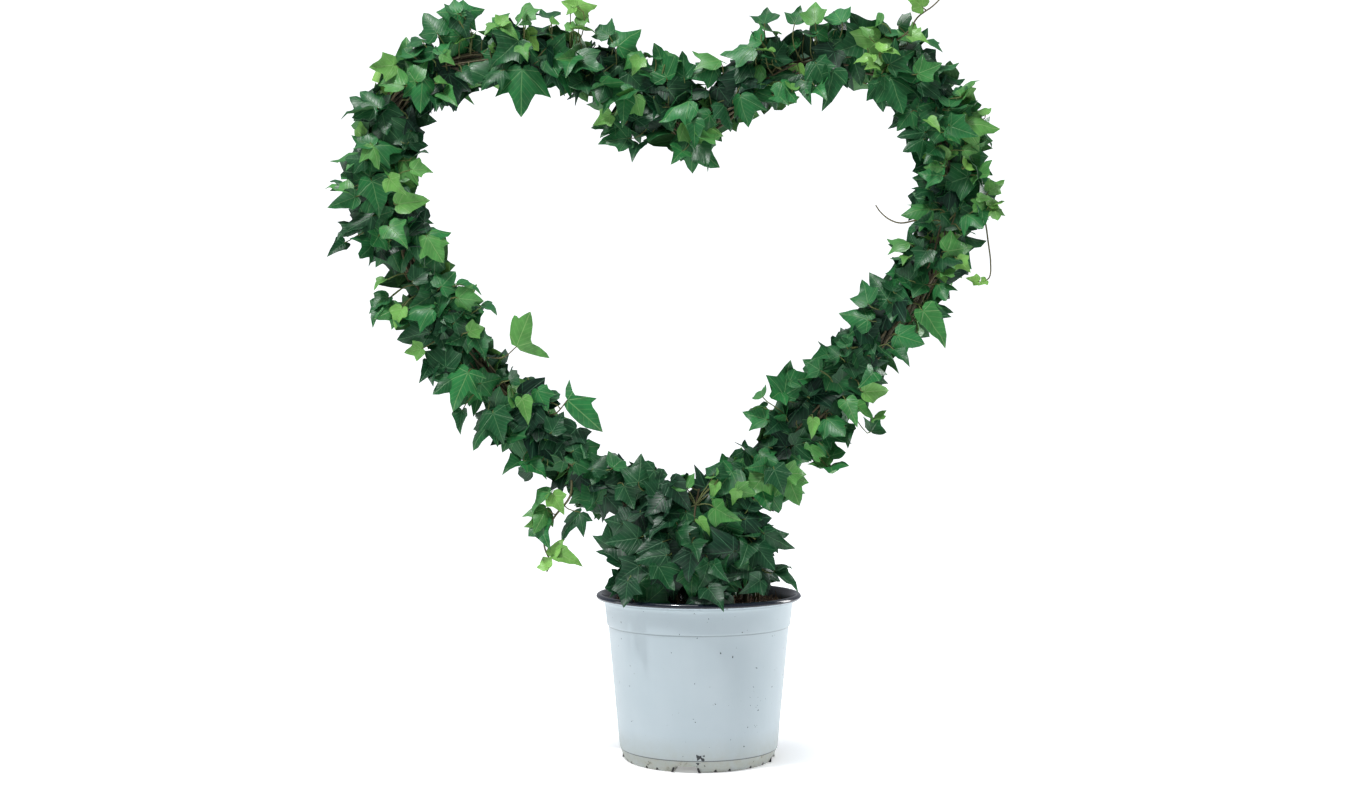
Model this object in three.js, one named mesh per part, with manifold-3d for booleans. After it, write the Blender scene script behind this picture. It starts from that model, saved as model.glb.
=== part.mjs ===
// English ivy trained round a heart-shaped wire hoop, in a plastic nursery pot.
// Millimetres, +Z up, front towards -Y, origin at the middle of the pot's flat underside.
// The hoop's legs and eight rooted vines stand in the compost. Each vine winds round the hoop,
// and leafy side shoots sit on the vines. A leaf here is a flat lobed plate on its stalk.
import * as THREE from "three";
import { mergeVertices } from "three/addons/utils/BufferGeometryUtils.js";
import Module from "manifold-3d";

const wasm = await Module();
wasm.setup();

// Driving dimensions
const GAP = 0.3;
const RIM_RADIUS = 85;
const RIM_TOP = 137;
const FOOT_RADIUS = 60.5;
const FOOT_LINE = 10;
const BAND_LINE = 107;
const POT_WALL = 1.3;
const POT_SEGMENTS = 32;
const COMPOST_TOP = 127;
const COMPOST_CROWN = 2.5;
const HOOP_RADIUS = 2.2;
const VINE_RADIUS = 1.7;
const VINES_PER_ARM = 4;
const VINE_PITCH = 140;
const SHOOT_RADIUS = 1.1;
const SHOOT_SIDES = 4;
const LEAF_THICKNESS = 1;

// Derived radius of the bundle. A vine's straight pieces pass a little nearer the wire than its joints,
// so the vines wind at two gaps from it.
const VINE_ORBIT = HOOP_RADIUS + 2 * GAP + VINE_RADIUS;
const BUNDLE_RADIUS = VINE_ORBIT + VINE_RADIUS;

// The hoop's centre line in the XZ plane, from the left leg's foot round to the right leg's foot.
const HOOP_POINTS = [
  [-12, 14], [-12, 60], [-12, 126], [-24, 178], [-60, 213], [-112, 256], [-160, 298], [-198, 343],
  [-228, 389], [-250, 436], [-262, 482], [-262, 524], [-246, 555], [-214, 571], [-170, 577], [-124, 574],
  [-82, 565], [-49, 550], [-22, 533], [-7, 523], [12, 532], [36, 547], [66, 562], [99, 575], [134, 579],
  [167, 569], [192, 546], [207, 511], [211, 472], [203, 430], [184, 388], [155, 350], [122, 314],
  [92, 281], [66, 250], [38, 216], [18, 180], [12, 126], [12, 60], [12, 14],
];
const DIP_INDEX = 19;

// Vectors and small numbers
const vec = (x, y, z) => new THREE.Vector3(x, y, z);
const UP = vec(0, 0, 1);
const FRONT = vec(0, -1, 0);
const degrees = THREE.MathUtils.degToRad;
const mix = (a, b, t) => a + (b - a) * t;

// A repeatable number from 0 to 1 for each whole number n.
function chance(n) {
  const value = Math.sin(n * 12.9898) * 43758.5453;
  return value - Math.floor(value);
}

// Solids
function toSolid(geometry) {
  const bare = new THREE.BufferGeometry().setAttribute("position", geometry.getAttribute("position"));
  if (geometry.index) bare.setIndex(geometry.index);
  const merged = mergeVertices(bare, 1e-3);
  const corners = merged.index.array;
  const kept = [];
  for (let i = 0; i < corners.length; i += 3) {
    const [a, b, c] = corners.slice(i, i + 3);
    if (a !== b && b !== c && a !== c) kept.push(a, b, c);
  }
  const build = (triangles) =>
    new wasm.Manifold(
      new wasm.Mesh({
        numProp: 3,
        vertProperties: merged.attributes.position.array,
        triVerts: new Uint32Array(triangles),
      }),
    );
  const made = build(kept);
  return made.volume() < 0 ? build(kept.reverse()) : made;
}

function toGeometry(solid) {
  const mesh = solid.getMesh();
  const positions = new Float32Array(mesh.numVert * 3);
  for (let i = 0; i < mesh.numVert; i++) {
    const from = i * mesh.numProp;
    positions.set(mesh.vertProperties.subarray(from, from + 3), i * 3);
  }
  const geometry = new THREE.BufferGeometry();
  geometry.setAttribute("position", new THREE.BufferAttribute(positions, 3));
  geometry.setIndex(new THREE.BufferAttribute(mesh.triVerts, 1));
  geometry.computeVertexNormals();
  return geometry;
}

const union = (solids) => solids.reduce((whole, next) => whole.add(next));

// A turned solid about the Z axis, from [radius, height] pairs that start and end on the axis.
function turned(profile, segments) {
  const points = profile.map(([radius, height]) => new THREE.Vector2(radius, height));
  return toSolid(new THREE.LatheGeometry(points, segments).rotateX(Math.PI / 2));
}

// A stem's path, whose straight pieces are shared out evenly among its points and not by length.
class StemPath extends THREE.CatmullRomCurve3 {
  getUtoTmapping(share) {
    return share;
  }
}

// A length of wire or stem with a polygon section and one straight piece between each two points.
function stemThrough(points, radius, sides) {
  const section = new THREE.Shape();
  for (let i = 0; i < sides; i++) {
    const angle = (2 * Math.PI * i) / sides;
    const corner = [radius * Math.cos(angle), radius * Math.sin(angle)];
    if (i) section.lineTo(...corner);
    else section.moveTo(...corner);
  }
  const extrudePath = new StemPath(points, false, "catmullrom", 0.5);
  return toSolid(new THREE.ExtrudeGeometry(section, { extrudePath, steps: points.length - 1 }));
}

// The bundle's path: positions along each arm of the hoop, measured up from the compost.
const HOOP_DIVISIONS = 1600;
const hoopCurve = new THREE.CatmullRomCurve3(
  HOOP_POINTS.map(([x, z]) => vec(x, 0, z)),
  false,
  "catmullrom",
  0.5,
);
hoopCurve.arcLengthDivisions = HOOP_DIVISIONS;
const hoopLength = hoopCurve.getLength();

// Distance along the hoop of the curve's control point number index.
function lengthTo(index) {
  const lengths = hoopCurve.getLengths();
  return lengths[Math.round((index / (HOOP_POINTS.length - 1)) * HOOP_DIVISIONS)];
}

const LEFT_SOIL = 2;
const RIGHT_SOIL = HOOP_POINTS.length - 3;
const arms = {
  left: { start: lengthTo(LEFT_SOIL), way: 1, length: lengthTo(DIP_INDEX) - lengthTo(LEFT_SOIL) },
  right: { start: lengthTo(RIGHT_SOIL), way: -1, length: lengthTo(RIGHT_SOIL) - lengthTo(DIP_INDEX) },
};

// The point, growing direction and outward direction on an arm, a millimetres above the compost.
function station(arm, a) {
  const t = THREE.MathUtils.clamp((arm.start + arm.way * a) / hoopLength, 0, 1);
  const point = hoopCurve.getPointAt(t);
  const along = hoopCurve.getTangentAt(t).multiplyScalar(arm.way);
  const outward = vec(-along.z, 0, along.x).multiplyScalar(arm.way);
  return { point, along, outward };
}

// The direction at an angle round the bundle: 0 is out of the heart, 90 degrees the front.
function radial(place, angle) {
  return place.outward.clone().multiplyScalar(Math.cos(angle)).addScaledVector(FRONT, Math.sin(angle));
}

function onBundle(arm, a, angle, orbit) {
  const place = station(arm, a);
  return place.point.clone().addScaledVector(radial(place, angle), orbit);
}

// Pot: thin white-outside, black-inside plastic with a rolled rim, a band step and four drain channels.
const CHANNEL_WIDTH = 21;
const CHANNEL_TOP_WIDTH = 17;
const CHANNEL_HEIGHT = 5.2;
const CHANNEL_INNER_RADIUS = 30;
const FIRST_CHANNEL_ANGLE = degrees(-100);
const CHANNELS = 4;
const DRAIN_RADIUS = 4.5;
const DRAIN_AT = 47;

const potOutside = [
  [0, 0], [FOOT_RADIUS, 0], [62, 1.4], [65, FOOT_LINE - 0.4], [65.7, FOOT_LINE + 0.8],
  [74.6, BAND_LINE - 0.8], [76, BAND_LINE + 1.2], [78.2, 127.6], [80.4, 130.6], [84.2, 131.9],
  [RIM_RADIUS, 133.6], [84.4, 136], [82.6, RIM_TOP],
];
const potInside = [
  [80, 136.3], [77.9, 132.4], [76.9, 127.8], [74.7, BAND_LINE + 2], [73.3, BAND_LINE],
  [64.4, FOOT_LINE + 1.4], [63.5, FOOT_LINE - 1], [61, 2.8], [59.4, POT_WALL], [0, POT_WALL],
];

// A radial bar with a trapezoid section, wider and taller than the channel by grow on each face.
function radialBar(channel, grow, from, to) {
  const foot = CHANNEL_WIDTH / 2 + grow;
  const crown = CHANNEL_TOP_WIDTH / 2 + grow;
  const base = grow ? 0.2 : -1;
  const section = new THREE.Shape();
  section.moveTo(-foot, base);
  section.lineTo(foot, base);
  section.lineTo(crown, CHANNEL_HEIGHT + grow);
  section.lineTo(-crown, CHANNEL_HEIGHT + grow);
  section.closePath();
  const bar = new THREE.ExtrudeGeometry(section, { depth: to - from, bevelEnabled: false, steps: 1 });
  bar.rotateX(Math.PI / 2);
  bar.translate(0, -from, 0);
  bar.rotateZ(FIRST_CHANNEL_ANGLE + Math.PI / 2 + (channel * 2 * Math.PI) / CHANNELS);
  return toSolid(bar);
}

function drainHole(channel) {
  const angle = FIRST_CHANNEL_ANGLE + (channel * 2 * Math.PI) / CHANNELS;
  const hole = new THREE.CylinderGeometry(DRAIN_RADIUS, DRAIN_RADIUS, 8, 12).rotateX(Math.PI / 2);
  hole.translate(DRAIN_AT * Math.cos(angle), DRAIN_AT * Math.sin(angle), CHANNEL_HEIGHT + 1);
  return toSolid(hole);
}

const channelNumbers = Array.from({ length: CHANNELS }, (_, i) => i);

function makePot() {
  const lowerInside = turned([[0, 0.2], [60.2, 0.2], [61.9, 1.8], [64.3, 9], [0, 9]], POT_SEGMENTS);
  const ridges = channelNumbers.map((i) => radialBar(i, POT_WALL, CHANNEL_INNER_RADIUS - POT_WALL, 70));
  const shell = turned([...potOutside, ...potInside], POT_SEGMENTS);
  let pot = shell.add(union(ridges).intersect(lowerInside));
  for (const i of channelNumbers) {
    pot = pot.subtract(radialBar(i, 0, CHANNEL_INNER_RADIUS, 72)).subtract(drainHole(i));
  }
  return pot;
}

// Compost: fills the pot to about 10 mm below the rim, with a low crown.
function makeCompost() {
  const clear = 0.4;
  const floor = POT_WALL + clear;
  const side = [[0, floor], [58.6, floor], [63.4, FOOT_LINE + 1.4], [72.8, BAND_LINE]];
  const top = [[75.2, COMPOST_TOP - 2.6], [68, COMPOST_TOP], [0, COMPOST_TOP + COMPOST_CROWN]];
  let compost = turned([...side, ...top], POT_SEGMENTS);
  for (const i of channelNumbers) {
    compost = compost.subtract(radialBar(i, POT_WALL + clear, CHANNEL_INNER_RADIUS - POT_WALL - clear, 72));
  }
  return compost;
}

// Hoop: one length of wire bent to a heart, with both ends pushed down to the pot's floor.
// The hoop and the vines share stations along each arm, so that their straight pieces run side by side.
const HOOP_SIDES = 5;
const STATION_STEP = 17;
const LEG_DEPTH = 112;

function stationsUpTo(arm, end) {
  const count = Math.round(end / STATION_STEP);
  return Array.from({ length: count + 1 }, (_, i) => (end * i) / count);
}

function makeHoop(radius) {
  const [left, right] = [arms.left, arms.right].map((arm) =>
    [-LEG_DEPTH, ...stationsUpTo(arm, arm.length)].map((a) => station(arm, a).point),
  );
  return stemThrough([...left, ...right.reverse().slice(1)], radius, HOOP_SIDES);
}

// Vines: four rise from the compost round each leg, close in on the hoop and wind up it.
const JOIN = 92;
const ROOT_DEPTH = 14;
const ROOT_DISTANCES = [27, 30, 26, 29];
const ROOT_ANGLES = [75, 25, -25, -75];
const JOIN_ANGLES = [135, 45, -45, -135];
const VINE_SIDES = 4;
const VINE_ENDS = [8, 24, 40, 56];

// The angle round the bundle of vine number k, a millimetres up its arm.
function vineAngle(k, a) {
  if (a < JOIN) return degrees(mix(ROOT_ANGLES[k], JOIN_ANGLES[k], Math.max(0, a / JOIN)));
  return degrees(JOIN_ANGLES[k]) + (2 * Math.PI * (a - JOIN)) / VINE_PITCH;
}

function vineOrbit(k, a) {
  return mix(ROOT_DISTANCES[k], VINE_ORBIT, THREE.MathUtils.smoothstep(a, 0, JOIN));
}

function makeVine(arm, k, radius) {
  const end = arm.length - VINE_ENDS[k];
  const stations = [-ROOT_DEPTH, ...stationsUpTo(arm, arm.length).filter((a) => a <= end)];
  const points = stations.map((a) => onBundle(arm, a, vineAngle(k, a), vineOrbit(k, a)));
  return stemThrough(points, radius, VINE_SIDES);
}

// Leaf: a flat plate of its stalk and three pointed lobes, the middle one longest.
// The lobes are in units of the leaf's length, from where the stalk meets the blade.
const HALF_LEAF = [[0.16, 0.52], [0.4, 0.23], [1, 0]];
const STALK_HALF_WIDTH = 0.9;

function leafPlate(leaf, size, turn) {
  const tip = leaf.tip.clone().applyAxisAngle(leaf.axis, turn).normalize();
  const normal = leaf.normal.clone().applyAxisAngle(leaf.axis, turn);
  const side = new THREE.Vector3().crossVectors(normal, tip).normalize();
  const face = new THREE.Vector3().crossVectors(tip, side).normalize();
  const stalk = leaf.stalk * size;
  const length = leaf.length * size;
  const half = [
    [-stalk, STALK_HALF_WIDTH],
    [-0.05 * length, STALK_HALF_WIDTH],
    ...HALF_LEAF.map(([x, y]) => [x * length, y * length]),
  ];
  const otherHalf = half.slice(0, -1).reverse().map(([x, y]) => [x, -y]);
  const outline = new THREE.Shape([...half, ...otherHalf].map(([x, y]) => new THREE.Vector2(x, y)));
  const plate = new THREE.ExtrudeGeometry(outline, { depth: LEAF_THICKNESS, bevelEnabled: false, steps: 1 });
  plate.translate(stalk, 0, -LEAF_THICKNESS / 2);
  plate.applyMatrix4(new THREE.Matrix4().makeBasis(tip, side, face).setPosition(leaf.from));
  return toSolid(plate);
}

// Nodes already placed, which later leaves have to stay clear of.
const placed = [];

function isClear(solid) {
  const box = solid.boundingBox();
  return placed.every((other) => {
    for (let k = 0; k < 3; k++) {
      if (box.min[k] > other.box.max[k] + GAP || box.max[k] < other.box.min[k] - GAP) return true;
    }
    return other.solid.minGap(solid, GAP) >= GAP * 0.99;
  });
}

const model = new THREE.Group();

function place(name, solid, finish) {
  const mesh = new THREE.Mesh(toGeometry(solid), finish);
  mesh.name = name;
  model.add(mesh);
  placed.push({ solid, box: solid.boundingBox() });
}

// A side stem starts on a vine. It is seated as deep as it goes while it clears what is placed,
// and where there is no room it moves along its vine.
const SEAT_LIFTS = Array.from({ length: 26 }, (_, i) => -2 + 0.15 * i);
const SEAT_SHIFTS = [0, 6, -6, 12, -12, 18, -18, 24, -24, 30, -30];

// The nearest distance up the arm to a at which some vine lies under the angle.
function onSomeVine(a, angle) {
  let best = Infinity;
  for (let k = 0; k < VINES_PER_ARM; k++) {
    const turns = (angle - vineAngle(k, a)) / (2 * Math.PI);
    const step = (turns - Math.round(turns)) * VINE_PITCH;
    if (Math.abs(step) < Math.abs(best)) best = step;
  }
  return a + best;
}

function seated(near, angle, radius, makeRoute) {
  const start = onSomeVine(near, angle);
  for (const shift of SEAT_SHIFTS) {
    const seat = { a: start + shift, angle: angle + (2 * Math.PI * shift) / VINE_PITCH };
    for (const lift of SEAT_LIFTS) {
      const route = makeRoute(seat, BUNDLE_RADIUS + radius + lift);
      const solid = stemThrough(route, radius, SHOOT_SIDES);
      if (isClear(solid)) return { solid, route, seat };
    }
  }
  throw new Error("a shoot finds no seat");
}

// Where a leaf's stalk starts on a stem: inside the straight piece that ends at point number i.
function stalkFoot(route, i) {
  return route[i - 1].clone().lerp(route[i], 0.7);
}

// Each leaf is tried as designed, then turned or made smaller until it clears what is placed.
const LEAF_TRIES = [
  [1, 0], [1, 14], [1, -14], [0.85, 0], [0.85, 22], [0.85, -22], [0.7, 0], [0.7, 30], [0.7, -30],
];

function withLeaves(stem, leaves) {
  let shoot = stem;
  for (const leaf of leaves) {
    for (const [size, turn] of LEAF_TRIES) {
      const made = leafPlate(leaf, size, degrees(turn));
      if (!isClear(made)) continue;
      shoot = shoot.add(made);
      break;
    }
  }
  return shoot;
}

// Side shoots: three in each section of an arm, a third of a turn apart, with leaves in two rows.
// Leaves on the outside of the heart have longer stalks than those that point into it. The ones at
// the front and back turn their faces forwards and backwards, so they stand out less.
const SECTIONS = 6;
const SHOOTS_PER_SECTION = 3;
const FIRST_SHOOT = 66;
const JOIN_CLEAR = 12;
const LAST_SHOOT = 14;
const SHOOT_LENGTH = 60;
const SHOOT_ANGLE = 24;
const SECTION_TURN = 47;
const SHOOT_STAGGER = 0.28;
const SHOOT_RISE = [0, 0.2, 0.8, 1.8, 3.5];
const LEAVES_PER_SHOOT = SHOOT_RISE.length - 1;
const LEAF_LEAN_OUT = 0.25;
const INNER_SHORTENING = 0.5;
const FLATTENING = 0.55;

function armShoot(arm, number) {
  const section = Math.floor(number / SHOOTS_PER_SECTION);
  const row = number % SHOOTS_PER_SECTION;
  const turn = degrees(SHOOT_ANGLE + (360 * row) / SHOOTS_PER_SECTION + SECTION_TURN * section);
  const pace = (arm.length - FIRST_SHOOT - LAST_SHOOT) / SECTIONS;
  const wanted = Math.max(FIRST_SHOOT + pace * (section + SHOOT_STAGGER * row), JOIN + JOIN_CLEAR);
  const stepFrom = (a) => Math.min(SHOOT_LENGTH, arm.length - a - 4) / LEAVES_PER_SHOOT;
  const climb = ({ a, angle }, orbit) =>
    SHOOT_RISE.map((height, i) => onBundle(arm, a + stepFrom(a) * i, angle, orbit + height));
  const { solid, route, seat } = seated(wanted, turn, SHOOT_RADIUS, climb);
  const leaves = [];
  for (let i = 0; i < LEAVES_PER_SHOOT; i++) {
    const node = station(arm, seat.a + stepFrom(seat.a) * (i + 1));
    const side = i % 2 ? 1 : -1;
    const seed = number * 31 + i * 7 + (arm.way > 0 ? 0 : 997);
    const away = radial(node, seat.angle + side * degrees(mix(30, 44, chance(seed))));
    const inward = Math.max(0, -away.dot(node.outward));
    const shortening = 1 - INNER_SHORTENING * inward;
    const forward = away.dot(FRONT);
    const tip = away.clone().addScaledVector(FRONT, -FLATTENING * forward);
    tip.addScaledVector(node.along, mix(-0.2, 0.5, chance(seed + 1)));
    tip.addScaledVector(node.outward, LEAF_LEAN_OUT);
    tip.addScaledVector(UP, mix(-0.7, 0.1, chance(seed + 2)));
    leaves.push({
      from: stalkFoot(route, i + 1),
      tip: tip.normalize(),
      normal: UP.clone().multiplyScalar(0.6).addScaledVector(FRONT, Math.sign(forward)),
      axis: node.along,
      stalk: mix(9, 16, chance(seed + 3)) * shortening,
      length: mix(25, 32, chance(seed + 4)),
    });
  }
  return withLeaves(solid, leaves);
}

// Mound: six short shoots rooted round the legs, leaning over the rim, with larger leaves.
const MOUND_ANGLES = [-145, -90, -35, 35, 90, 145];
const MOUND_LEAVES = 7;
const MOUND_ROOT = 47;
const MOUND_HEIGHT = 98;
const MOUND_STEM_RADIUS = 1.4;

function moundRoute(number) {
  const angle = degrees(MOUND_ANGLES[number]);
  const out = vec(Math.cos(angle), Math.sin(angle), 0);
  const round = vec(-out.y, out.x, 0);
  const points = [];
  for (let i = 0; i <= MOUND_LEAVES + 1; i++) {
    const t = i / (MOUND_LEAVES + 1);
    const point = out.clone().multiplyScalar(MOUND_ROOT + 7 * Math.sin(Math.PI * t) - 6 * t);
    point.addScaledVector(round, 4 * Math.sin(2 * Math.PI * t));
    points.push(point.setZ(COMPOST_TOP - 8 + (MOUND_HEIGHT + 8) * t));
  }
  return { out, points };
}

function moundShoot(number) {
  const { out, points } = moundRoute(number);
  const leaves = [];
  for (let i = 0; i < MOUND_LEAVES; i++) {
    const seed = 4000 + number * 29 + i * 5;
    const turn = degrees((i % 2 ? 1 : -1) * mix(35, 75, chance(seed)));
    const tip = out.clone().applyAxisAngle(UP, turn);
    leaves.push({
      from: stalkFoot(points, i + 2),
      tip: tip.addScaledVector(UP, mix(-1.1, 0.2, chance(seed + 1))).normalize(),
      normal: out.clone().addScaledVector(UP, 0.7),
      axis: UP,
      stalk: mix(9, 15, chance(seed + 2)),
      length: mix(30, 36, chance(seed + 3)),
    });
  }
  return withLeaves(stemThrough(points, MOUND_STEM_RADIUS, SHOOT_SIDES), leaves);
}

// Free shoots: long ones that leave the bundle, each seated on a vine and led through its own points.
// A leaf says at which of those points it sits, which way its tip points and how long it is.
const FREE_SHOOTS = [
  {
    name: "hanging_shoot_left",
    arm: "left",
    near: 148,
    angle: 20,
    radius: 1.1,
    route: [
      [-106, -14, 218], [-120, -18, 199], [-127, -19, 179], [-122, -18, 164], [-125, -18, 156],
    ],
    leaves: [
      { at: 0, tip: [-0.7, -0.5, 0.2], length: 22 },
      { at: 1, tip: [0.5, -0.6, -0.5], length: 24 },
      { at: 2, tip: [-0.8, -0.3, 0.5], length: 15 },
      { at: 3, tip: [0.95, -0.3, 0], length: 20 },
      { at: 4, tip: [-0.5, -0.6, 0.5], length: 12 },
    ],
  },
  {
    name: "bare_runner_right",
    arm: "right",
    near: 372,
    angle: 165,
    radius: 0.9,
    route: [
      [189, -9, 449], [177, -12, 445], [166, -14, 443], [157, -14, 446], [150, -13, 452], [146, -12, 458],
    ],
    leaves: [],
  },
  {
    name: "hanging_runner_right",
    arm: "right",
    near: 398,
    angle: 30,
    radius: 0.9,
    route: [
      [227, -14, 462], [235, -16, 446], [238, -17, 427], [240, -17, 410], [239, -17, 398], [232, -16, 394],
    ],
    leaves: [
      { at: 5, tip: [-0.9, -0.2, 0.3], length: 10 },
      { at: 4, tip: [-0.7, -0.5, -0.4], length: 8 },
    ],
  },
  {
    name: "top_shoot_right",
    arm: "right",
    near: 530,
    angle: 40,
    radius: 1,
    route: [[170, -16, 598], [180, -16, 612], [192, -15, 621], [200, -14, 629], [205, -14, 636]],
    leaves: [
      { at: 2, tip: [-0.75, -0.4, 0.55], length: 20 },
      { at: 4, tip: [0.95, -0.3, -0.1], length: 20 },
    ],
  },
  {
    name: "inner_leaf_left_upper",
    arm: "left",
    near: 277,
    angle: 150,
    radius: 0.9,
    route: [[-165, -14, 333], [-155, -16, 341]],
    leaves: [{ at: 1, tip: [0.12, -0.25, 0.96], length: 29 }],
  },
  {
    name: "inner_leaf_left_lower",
    arm: "left",
    near: 220,
    angle: 150,
    radius: 0.9,
    route: [[-121, -16, 286], [-113, -18, 296]],
    leaves: [{ at: 1, tip: [0.76, -0.3, -0.58], length: 36 }],
  },
];

function freeShoot(plan) {
  const arm = arms[plan.arm];
  const leadOut = ({ a, angle }, orbit) => [
    onBundle(arm, a, angle, orbit),
    onBundle(arm, a + 3, angle, orbit + 3.5),
    ...plan.route.map((point) => vec(...point)),
  ];
  const { solid, route, seat } = seated(plan.near, degrees(plan.angle), plan.radius, leadOut);
  const leaves = plan.leaves.map((leaf) => ({
    from: stalkFoot(route, leaf.at + 2),
    tip: vec(...leaf.tip),
    normal: FRONT.clone().addScaledVector(UP, 0.6),
    axis: station(arm, seat.a).along,
    stalk: leaf.length * 0.25,
    length: leaf.length,
  }));
  return withLeaves(solid, leaves);
}

// Finishes
const paint = (color, roughness) => new THREE.MeshStandardMaterial({ color, roughness, metalness: 0 });
const potPlastic = paint(0xc9d6dd, 0.45);
const compostMix = paint(0x2e2118, 0.95);
const coatedWire = paint(0x22301f, 0.5);
const vineBark = paint(0x5a4b35, 0.8);
const leafGreen = paint(0x1f5a30, 0.45);
const youngGreen = paint(0x5fa03c, 0.45);

// Assembly, from the pot up
const twoDigits = (number) => String(number).padStart(2, "0");
const vineNumbers = Array.from({ length: VINES_PER_ARM }, (_, i) => i);
const HOLE_GROWTH = 0.45;

let compost = makeCompost().subtract(makeHoop(HOOP_RADIUS + HOLE_GROWTH));
for (const arm of Object.values(arms)) {
  for (const k of vineNumbers) compost = compost.subtract(makeVine(arm, k, VINE_RADIUS + HOLE_GROWTH));
}
for (const i of MOUND_ANGLES.keys()) {
  compost = compost.subtract(stemThrough(moundRoute(i).points, MOUND_STEM_RADIUS + HOLE_GROWTH, SHOOT_SIDES));
}

place("pot", makePot(), potPlastic);
place("compost", compost, compostMix);
place("heart_hoop", makeHoop(HOOP_RADIUS), coatedWire);
for (const [side, arm] of Object.entries(arms)) {
  for (const k of vineNumbers) place(`vine_${side}_${k + 1}`, makeVine(arm, k, VINE_RADIUS), vineBark);
}
for (const plan of FREE_SHOOTS) place(plan.name, freeShoot(plan), youngGreen);
for (const i of MOUND_ANGLES.keys()) place(`mound_shoot_${i + 1}`, moundShoot(i), leafGreen);
for (const [side, arm] of Object.entries(arms)) {
  for (let i = 0; i < SECTIONS * SHOOTS_PER_SECTION; i++) {
    place(`shoot_${side}_${twoDigits(i + 1)}`, armShoot(arm, i), leafGreen);
  }
}

export default model;
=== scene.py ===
"""Potted English ivy trained round a heart-shaped wire hoop: its looks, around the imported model.

Metres, +Z up, front towards -Y. Sizes in the tables are millimetres and become metres
in the meshes. Only the leaves of the front are listed in pixels of the photo.
"""

import bisect
import collections
import functools
import math
import random

import bmesh
import bpy
from mathutils import Matrix, Vector, geometry, noise


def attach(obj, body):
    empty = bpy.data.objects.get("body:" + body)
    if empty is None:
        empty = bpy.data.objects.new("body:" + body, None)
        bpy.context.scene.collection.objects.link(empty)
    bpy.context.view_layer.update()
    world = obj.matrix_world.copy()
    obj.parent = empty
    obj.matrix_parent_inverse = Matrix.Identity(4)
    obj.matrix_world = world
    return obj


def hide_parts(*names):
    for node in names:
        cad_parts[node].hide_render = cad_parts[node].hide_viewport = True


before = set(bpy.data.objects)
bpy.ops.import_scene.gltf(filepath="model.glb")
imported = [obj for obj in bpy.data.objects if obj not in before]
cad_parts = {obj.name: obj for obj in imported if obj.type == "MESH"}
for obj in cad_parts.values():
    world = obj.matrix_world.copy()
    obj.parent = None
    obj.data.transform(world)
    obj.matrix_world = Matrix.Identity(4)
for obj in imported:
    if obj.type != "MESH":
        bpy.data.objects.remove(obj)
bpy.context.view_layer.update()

# Pot.
# A thin nursery pot, injection moulded from two layers of polypropylene: white outside, black inside.
# Its rim is rolled outwards and shows the black layer. Four drain channels cross the underside, and the
# foot is nicked, scuffed and stained by wet benches.
MM = 0.001
POT_SEGMENTS = 192
# The pot's section as (radius, height): the white outside from the foot to the lip, then the black inside.
POT_WHITE = [
    (0, 0), (30, 0), (52, 0), (60, 0), (60.9, 0.3), (61.6, 1.2), (62.6, 3.4), (63.8, 6.4),
    (64.9, 9.3), (65, 9.7), (65.5, 10.1), (65.7, 10.8), (66.9, 24), (68.4, 40), (70.2, 59),
    (71.9, 77), (73.4, 93), (74.9, 109.6), (75.1, 110.3), (75.8, 111), (76.2, 111.6),
    (76.3, 112.6), (76.9, 118), (77.6, 124), (78.1, 128.4), (78.8, 130.5), (80.2, 131.8),
    (82.2, 132.2), (83.9, 132.7), (84.7, 133.5),
]
POT_BLACK = [
    (85, 134.2), (85, 135.2), (84.5, 136.2), (83.6, 136.8),
    (82.4, 137), (81.4, 136.8), (80.6, 136.2), (79.9, 135.2), (79, 133.6), (78.1, 131.4),
    (77.3, 129.4), (76.5, 125), (75.5, 117), (75, 113.6), (74.5, 112), (73.7, 111), (73.4, 108.6),
    (70.3, 75), (67.4, 44), (64.4, 11.4), (63.5, 9), (61.3, 3), (60.2, 1.6), (59, 1.3), (30, 1.3), (0, 1.3),
]
# The drain channels and the nicks round the foot, by their turn in degrees.
CHANNEL_TURNS = [-100, -10, 80, 170]
CHANNEL_HALF_WIDTHS = (10.5, 8.5)
CHANNEL_HEIGHT = 5.2
DRAIN_HOLE_RADIUS, DRAIN_HOLE_DISTANCE = 4.5, 47
FOOT_WALL = 1.3
CREASE = math.radians(38)
NICK_TURNS = [
    -153, -133, -123, -78, -67, -48, -33, -15, 3, 18, 34, 49, 62, 96, 109, 121, 138, 152, 186, 199,
]
SCUFF_PLACE = (0.001, -0.0655, 0.0115)
# Grit stuck to the wall, as (place, radius), and two splashes of fine dots, as (place, reach), in metres.
GRIT_SPOTS = [
    ((0.0305, -0.0655, 0.091), 0.0009), ((0.0475, -0.0514, 0.0745), 0.0006),
    ((-0.0028, -0.0728, 0.0953), 0.0005), ((-0.0628, -0.0397, 0.104), 0.0006),
    ((0.0215, -0.0813, 0.1324), 0.0012),
]
SPLASHES = [((0.0415, -0.0545, 0.0545), 0.017), ((0.0455, -0.0484, 0.0345), 0.0095)]
# Mud at the foot, as heights in metres: dense up to the foot line, and a film that fades out above it.
MUD_DENSE = (0.0096, 0.0104)
MUD_FILM = (0.009, 0.03)
# The height on the inside at which dust from the compost fades out.
DUST_EDGE = (0.127, 0.134)
# Painted shade: thin grey lines painted in the crease at the foot line, in the corner of the step and under
# the lip, as heights and half widths in metres, and greys.
PAINTED_SHADE_LINES = [(0.01, 0.00045, "#5c6264"), (0.1106, 0.0006, "#7f8a8e"), (0.1314, 0.0004, "#8b979c")]


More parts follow.
